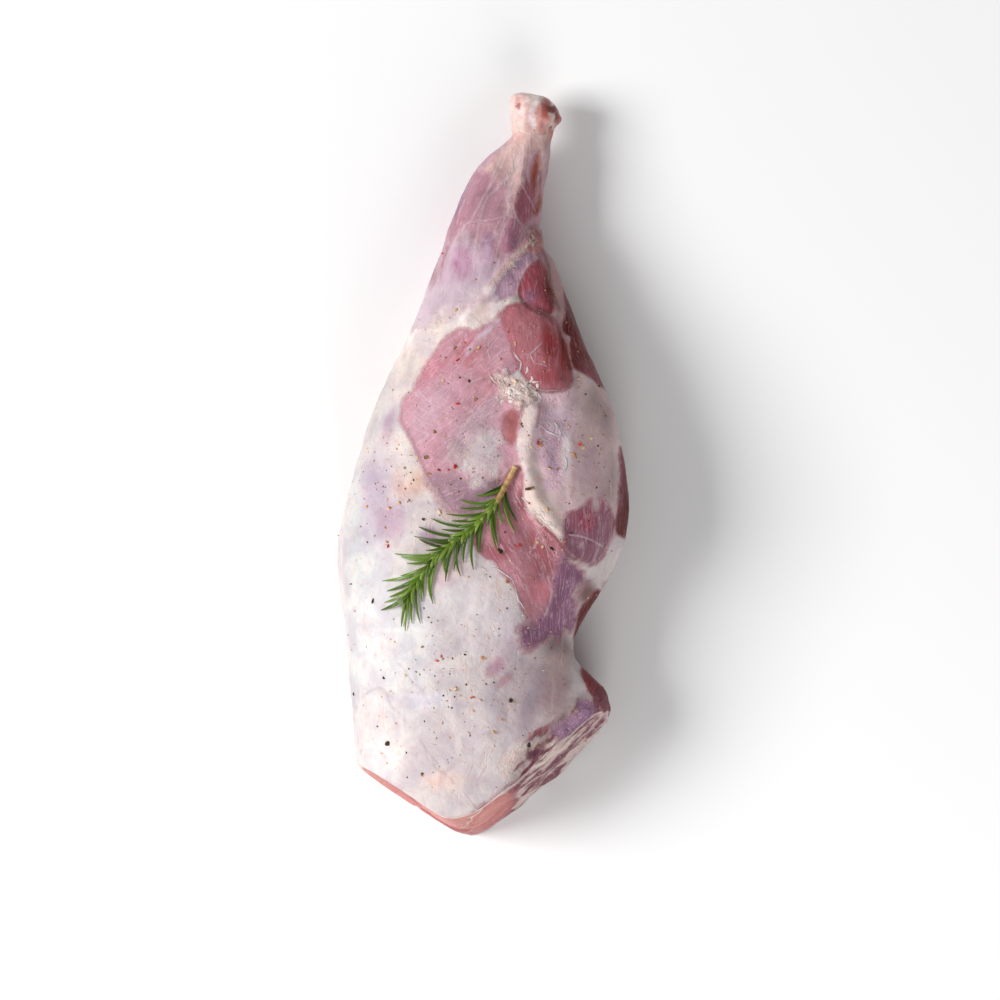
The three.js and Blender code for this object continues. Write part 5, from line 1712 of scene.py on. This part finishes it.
class RosemarySprig:
    """A sprig of rosemary on top of the leg: a woody stem with narrow needles along both sides."""

    def __init__(self, ground: Ground, sizes: SprigSizes) -> None:
        """Takes the surface that it lies on and its sizes."""
        self.ground, self.sizes = ground, sizes
        path = np.array(sizes.stem)
        points, _ = ground.drop(path)
        points[:, 2] += sizes.stem_thick + sizes.gap - 0.6 * np.arange(len(path)) / (len(path) - 1)
        self.curve = even_path(smooth_path(points, 24), 400)
        self.spines = self.needle_spines()

    def stem_at(self, share: float) -> tuple[Array, float]:
        """Gives the stem's point at a share of its length, and the direction that it runs in there."""
        at = share * (len(self.curve) - 1)
        low = min(int(at), len(self.curve) - 2)
        ahead = self.curve[low + 1] - self.curve[low]
        return self.curve[low] + (at - low) * ahead, math.atan2(ahead[1], ahead[0])

    def spine(self, at: float, start: float, turn: float, reach: float, lifted: float, young: bool) -> Array:
        """Carries a needle's middle line from the stem by even steps that turn outwards, above the leg.

        Its height over its root is lifted * sin(arch * pi * t) - drop * t^2 at a share t of its length. A
        young needle keeps that height, and an older one blends from there down to the leg.

        Args:
            at: The root's share of the stem's length.
            start: The angle from the stem at which the needle starts.
            turn: How much it turns along its length.
            reach: Its length.
            lifted: How far it is lifted.
            young: Whether it is a short young needle on top of the stem.

        Returns:
            The middle line's points.
        """
        s = self.sizes
        root, heading = self.stem_at(at)
        arch, drop, settle, over = (0.7, 1.5, 0.0, 0.6) if young else (0.8, 0.0, 1.0, 0.0)
        x, y, z = float(root[0]), float(root[1]), float(root[2]) + over
        points = [(x, y, z)]
        for k in range(1, s.steps + 1):
            t = k / s.steps
            way = heading + (start + turn * (t - 0.5 / s.steps))
            x, y = x + reach / s.steps * math.cos(way), y + reach / s.steps * math.sin(way)
            low = self.ground.height(x, y) + s.half_thick + s.gap
            free = z + lifted * math.sin(arch * math.pi * t) - drop * t * t
            points.append((x, y, max(low, mix(free, low, settle * t))))
        return np.array(points)

    def needle_spines(self) -> list[Array]:
        """Draws each needle's spine, as the solid has it: one on each side of the stem at every place,
        lifted a little and then settling on the leg."""
        s, draw, spines = self.sizes, Draws(self.sizes.seed), []
        for i in range(2 * s.pairs):
            share = min((i + 1.4 * draw()) / (2 * s.pairs), 1)
            closing = (1 if i % 2 else -1) * (1 - 0.5 * share**4)
            start = math.radians(s.spread + s.jitter * (draw() - 0.5)) * closing
            turn = math.radians(s.bend + 2 * s.jitter * (draw() - 0.5)) * closing
            reach, lifted = mix(s.shortest, s.longest, draw()), 4 * draw() ** 2
            spines.append(self.spine(mix(s.bare, 0.985, share), start, turn, reach, lifted, young=False))
        return spines

    def tuft_spines(self) -> list[Array]:
        """Draws the short young needles on top of the stem, which lean along it and hide it from its first
        quarter on."""
        s, draw, spines = self.sizes, Draws(self.sizes.seed + 5), []
        for i in range(s.tufts):
            side, share = 1 if i % 2 else -1, (i + draw()) / s.tufts
            start, turn = side * math.radians(mix(3, 20, draw())), side * math.radians(mix(6, 34, draw()))
            reach, lifted = mix(7.0, 15.0, draw()) * (1 - 0.25 * share), mix(1.0, 2.6, draw())
            spines.append(self.spine(mix(0.2, 0.99, share), start, turn, reach, lifted, young=True))
        return spines

    def needle(self, shape: Shape, spine: Array, index: int) -> None:
        """Adds one needle: a narrow blade with a groove along its top and rolled edges, darker above.

        The section is wide * cos and high * sin of the angle. Its top sinks towards the middle by a bell
        curve, and its underside is hollow. The width swells fast from the root and closes to a blunt tip.

        Args:
            shape: What the needle is added to.
            spine: The needle's middle line.
            index: Its number, for its own tone and twist.
        """
        s, draw = self.sizes, Draws(977 * index + 31)
        path = even_path(smooth_path(spine, 8), s.rings)
        t = np.linspace(0, 1, s.rings)
        swell = np.sqrt(np.clip(np.sin(math.pi * np.clip(0.22 + 0.78 * t, 0, 0.97)), 0, 1))
        wide, high = s.half_width * swell * mix(0.92, 1.12, draw()), 1.25 * s.half_thick * swell
        roll = mix(-0.5, 0.5, draw()) * t
        ahead = np.gradient(path, axis=0)
        ahead /= np.linalg.norm(ahead, axis=1, keepdims=True)
        side = np.cross((0.0, 0.0, 1.0), ahead)
        side /= np.linalg.norm(side, axis=1, keepdims=True)
        up = np.cross(ahead, side)
        up = up * np.cos(roll)[:, None] + side * np.sin(roll)[:, None]
        rings = rings_along(path, up, wide, high, s.columns)
        a = 2 * math.pi * np.arange(s.columns) / s.columns
        groove = np.exp(-((np.cos(a) / 0.3) ** 2)) * np.where(np.sin(a) > 0, -0.55, 0.45)
        rings = rings + up[:, None] * (high[:, None] * groove)[..., None]
        young = smoothstep(0.4, 1.0, np.array([index / (2 * s.pairs)]))[0]
        leaf = mix(linear("#263802"), linear("#567a14"), draw() ** 1.2)
        top = mix(leaf, linear("#94b33a"), 0.6 * young * draw())
        upper = smoothstep(-0.35, 0.25, np.sin(a))[:, None]
        shade = np.stack([mix(linear("#899d4e"), top, upper)] * s.rings)
        for tone, share in (
            ("#24430f", (np.exp(-((np.cos(a) / 0.22) ** 2)) * (np.sin(a) > 0))[None, :, None] * 0.45),
            ("#b7cc6c", (np.abs(np.cos(a)) ** 6)[None, :, None] * mix(0.25, 0.75, draw())),
            ("#a9bd6a", 0.7 * smoothstep(0.16, 0.0, t)[:, None, None]),
            ("#4a3b1e", 0.6 * smoothstep(0.96, 1.0, t)[:, None, None]),
        ):
            shade = mix(shade, linear(tone), share)
        shape.tube(rings, path[[0, -1]], tone=shade)

    def stem(self, shape: Shape) -> None:
        """Adds the stem: a tube that thins to its tip, knotted where needles grow, its cut end pale."""
        s, count = self.sizes, 150
        path = even_path(self.curve, count)
        t = np.linspace(0, 1, count)
        knots = 1 + 0.09 * np.sin(2 * math.pi * t * s.pairs) + 0.05 * Noise(41).at(path, 2.5, 2)
        radius = mix(s.stem_thick, s.stem_thin, t) * knots
        rings = rings_along(path, np.tile((0.0, 0.0, 1.0), (count, 1)), radius, radius, 16)
        bark = linear("#b98e5e")
        for tone, low, high in (("#a3a455", 0.1, 0.45), ("#8fb04c", 0.5, 0.9), ("#e6c690", 0.012, 0.0)):
            bark = mix(bark, linear(tone), smoothstep(low, high, t)[:, None])
        shape.tube(rings, tone=bark)

    def build(self, material: bpy.types.Material) -> bpy.types.Object:
        """Builds the whole sprig."""
        shape = Shape()
        self.stem(shape)
        for index, spine in enumerate(self.spines + self.tuft_spines()):
            self.needle(shape, spine, index)
        return hand_over(shape.mesh_object("rosemary_sprig_fresh", material), "rosemary", "rosemary_sprig")


@dataclass(frozen=True)
class Cluster:
    """Where a pinch of pepper fell: its middle, its spread and the number of grains."""

    at: Plan
    spread: Plan
    count: int


CLUSTERS = [
    Cluster((-36, -6), (24, 18), 34),
    Cluster((50, 14), (20, 28), 32),
    Cluster((-8, -125), (34, 26), 46),
    Cluster((22, -46), (22, 20), 14),
    Cluster((-10, 52), (34, 34), 22),
    Cluster((-46, -52), (20, 34), 16),
    Cluster((-30, -165), (24, 12), 6),
]
# Single grains that stand out, by kind: place and half size.
SINGLES = {
    Spice.BLACK: """
-53.5,-154.5,1.5 -73,-128,0.9 -34.5,-171.5,1.1 24.5,-155.5,1.3 -8.5,45.5,0.9 24.5,-13.5,2 8.6,-48.2,1.7
 36.6,-46.6,1.2 -61.5,-75.5,1.2
""",
    Spice.RED: """
-15,57.5,1 -15,33,1.1 29.5,11.5,1.2 52.5,11,1.1 -25,-3.5,1 19,-44.5,1 13,73,0.7 -23.5,118,0.9
 -26.5,-108,1.1
""",
}


class Pepper:
    """Cracked peppercorns on the upper side: rough grains, each with husk outside and pale meal on its
    broken faces, in one joined piece for each kind."""

    SMALLEST, LARGEST, SHOWN, SUNK, SEED, CLEAR = 0.35, 1.75, 0.95, 0.35, 5, 2.2
    DUST, FINER = 620, 0.7
    HUSKS = {
        Spice.BLACK: ["#2b1a14", "#3d2419", "#1f1512", "#54331f"],
        Spice.CREAM: ["#c8854a", "#dca873", "#b06a3a", "#e8c8a0"],
        Spice.RED: ["#c0201b", "#d23a30", "#a81c18", "#dd6a5c"],
    }
    MEALS = {Spice.BLACK: "#b98a55", Spice.CREAM: "#edd3a4", Spice.RED: "#e08c78"}

    def __init__(self, ground: Ground, sprig: RosemarySprig) -> None:
        """Takes the surface that they lie on and the sprig that they keep clear of."""
        self.ground = ground
        self.kept = np.vstack([np.vstack([p, (p[:-1] + p[1:]) / 2])[:, :2] for p in sprig.spines])
        self.grains: dict[Spice, list[tuple[Any, ...]]] = {kind: [] for kind in Spice}

    def clear(self, x: float, y: float, size: float) -> bool:
        """Says whether a grain there would be clear of the sprig."""
        return bool((np.hypot(self.kept[:, 0] - x, self.kept[:, 1] - y) > size + self.CLEAR).all())

    def place(self, kind: Spice, x: float, y: float, size: float, flat: float, *shape: float) -> None:
        """Notes one grain on the surface, sunk by its share, if the leg is below it: its half size, how flat
        it is, and its length and turn."""
        z = self.ground.height(x, y)
        if z > 0:
            middle = np.array([x, y, z + size * flat * (1 - 2 * self.SUNK)])
            self.grains[kind].append((middle, size, flat, *shape))

    def scatter(self) -> None:
        """Scatters the grains: first those of the solid by its own draws, then the single ones, then dust."""
        draw, pick = Draws(self.SEED), np.random.default_rng(8)
        for cluster in CLUSTERS:
            for _ in range(cluster.count):
                x = cluster.at[0] + cluster.spread[0] * 1.4 * (draw() + draw() + draw() - 1.5)
                y = cluster.at[1] + cluster.spread[1] * 1.4 * (draw() + draw() + draw() - 1.5)
                size = self.SMALLEST + (self.LARGEST - self.SMALLEST) * draw() ** 2
                flat, long, turn = 0.6 + 0.3 * draw(), 1 + 0.4 * draw(), 2 * math.pi * draw()
                chance = pick.random()
                kind = Spice.BLACK if chance < 0.28 else Spice.RED if chance < 0.36 else Spice.CREAM
                if self.clear(x, y, size):
                    self.place(kind, x, y, self.FINER * size, flat, long, turn)
        for kind, text in SINGLES.items():
            for x, y, size in table(text)[0]:
                self.place(kind, x, y, size, 0.55, 1.3, 6 * pick.random())
        weights = np.array([c.count for c in CLUSTERS], float)
        for _ in range(self.DUST):
            cluster = CLUSTERS[pick.choice(len(CLUSTERS), p=weights / weights.sum())]
            x, y = np.array(cluster.at) + np.array(cluster.spread) * pick.normal(0, 1.15, 2)
            size = 0.26 + 0.36 * pick.random() ** 2
            kind = [Spice.CREAM, Spice.BLACK, Spice.RED][int(pick.choice(3, p=[0.55, 0.38, 0.07]))]
            if self.clear(x, y, size):
                self.place(kind, x, y, size, 0.7, 1.3, 6 * pick.random())

    def build(self, materials: dict[Spice, bpy.types.Material]) -> list[bpy.types.Object]:
        """Builds the grains of each kind.

        A grain is a subdivided icosahedron, roughened by noise and cut flat by three planes at 0.35 to 0.8 of
        its size, then turned about +X and +Z. What a plane cuts shows the pale meal, and the rest is husk.

        Args:
            materials: The material of each kind.

        Returns:
            The piece of each kind.
        """
        ball = bpy.data.meshes.new("ball")
        shaper = bmesh.new()
        bmesh.ops.create_icosphere(shaper, subdivisions=2, radius=1.0)
        shaper.to_mesh(ball)
        shaper.free()
        unit = np.array([v.co[:] for v in ball.vertices])
        faces = np.array([p.vertices[:] for p in ball.polygons])
        bpy.data.meshes.remove(ball)
        rough, pick, made = Noise(51), np.random.default_rng(9), []
        self.scatter()
        for kind in Spice:
            shape = Shape()
            husks = [linear(c) for c in self.HUSKS[kind]]
            for middle, size, flat, long, turn in self.grains[kind]:
                p = unit * (1 + 0.2 * rough.at(unit * 0.9 + pick.random(3) * 50, 0.7, 2))[:, None]
                meal = np.zeros(len(p))
                for _ in range(3):
                    way = pick.normal(size=3)
                    way /= np.linalg.norm(way)
                    over = np.maximum(p @ way - mix(0.35, 0.8, pick.random()), 0)
                    p = p - over[:, None] * way
                    meal = np.maximum(meal, over > 0.02)
                p = p * size * (long, 1, flat)
                for a, b, by in ((1, 2, turn / 2), (0, 1, turn)):
                    c, s = math.cos(by), math.sin(by)
                    p[:, a], p[:, b] = p[:, a] * c - p[:, b] * s, p[:, a] * s + p[:, b] * c
                husk = husks[int(pick.integers(len(husks)))]
                meal = meal * (pick.random() < 0.7)
                tone = mix(husk, linear(self.MEALS[kind]), meal[:, None] * 0.85)
                shape.add(p + middle, [faces], tone=tone)
            piece = shape.mesh_object(kind.value, materials[kind], smooth=False)
            made.append(hand_over(piece, "pepper", "leg"))
        return made


@dataclass(frozen=True)
class Lamp:
    """A square soft white light: its name, its place and size in metres, and its power in watts."""

    name: str
    at: Triple
    size: float
    power: float


class Studio:
    """The pale floor, the soft lights and the camera straight above."""

    AIM = Vector((0.0, -0.02, 0.04))
    FLOOR_HALF = 6000.0
    CAMERA_AT, FOCAL, SENSOR = (0.0084, -0.0199, 2.4), 152.04, 36.0
    ROOM_LIGHT = 0.28
    LAMPS = (
        Lamp("key_left", (-3.3, 0.15, 2.45), 1.8, 172),
        Lamp("front_low", (0.4, -1.7, 1.2), 1.2, 18),
    )

    def build(self) -> None:
        """Builds the floor, lights, world and camera."""
        scene = bpy.context.scene
        scene.view_settings.view_transform = "Standard"
        shape = Shape()
        corners = np.array([[x, y, -0.15] for x, y in ((-1, -1), (1, -1), (1, 1), (-1, 1))])
        corners[:, :2] *= self.FLOOR_HALF
        shape.add(corners, [np.array([[0, 1, 2, 3]])])
        # Uncoated paper is matt, so the floor shows soft shadows and no gloss.
        material, _, _ = Finish("matt_white_studio_paper", 0.9, tone="#fafafa").start()
        shape.mesh_object("floor", material, smooth=False)
        for lamp in self.LAMPS:
            data = bpy.data.lights.new(lamp.name, "AREA")
            data.size, data.energy = lamp.size, lamp.power
            light = bpy.data.objects.new(lamp.name, data)
            light.location = lamp.at
            light.rotation_euler = (self.AIM - light.location).to_track_quat("-Z", "Y").to_euler()
            scene.collection.objects.link(light)
        world = bpy.data.worlds.new("soft_white_room")
        scene.world = world
        world.use_nodes = True
        room = world.node_tree.nodes["Background"].inputs
        room["Color"].default_value, room["Strength"].default_value = (1, 1, 1, 1), self.ROOM_LIGHT
        lens = bpy.data.cameras.new("camera")
        lens.lens, lens.sensor_width, lens.clip_end = self.FOCAL, self.SENSOR, 20.0
        camera = bpy.data.objects.new("camera", lens)
        camera.location = self.CAMERA_AT
        scene.collection.objects.link(camera)
        scene.camera = camera


def main() -> None:
    """Builds the leg, what lies on it and the studio, and logs each piece's number of faces."""
    logging.basicConfig(level=logging.INFO, format="%(name)s %(message)s")
    flesh, film, bone, leaf = (look.build() for look in (FleshLook(), SILVERSKIN, DAMP_BONE, FRESH_LEAF))
    leg = Leg(LegForm(), LegSizes()).build(flesh)
    ground = Ground(leg)
    Sinews(ground).build(film)
    ShankBone().build(bone)
    sprig = RosemarySprig(ground, SprigSizes())
    sprig.build(leaf)
    Pepper(ground, sprig).build({kind: look.build() for kind, look in PEPPERCORNS.items()})
    Studio().build()


if __name__ == "__main__":
    main()
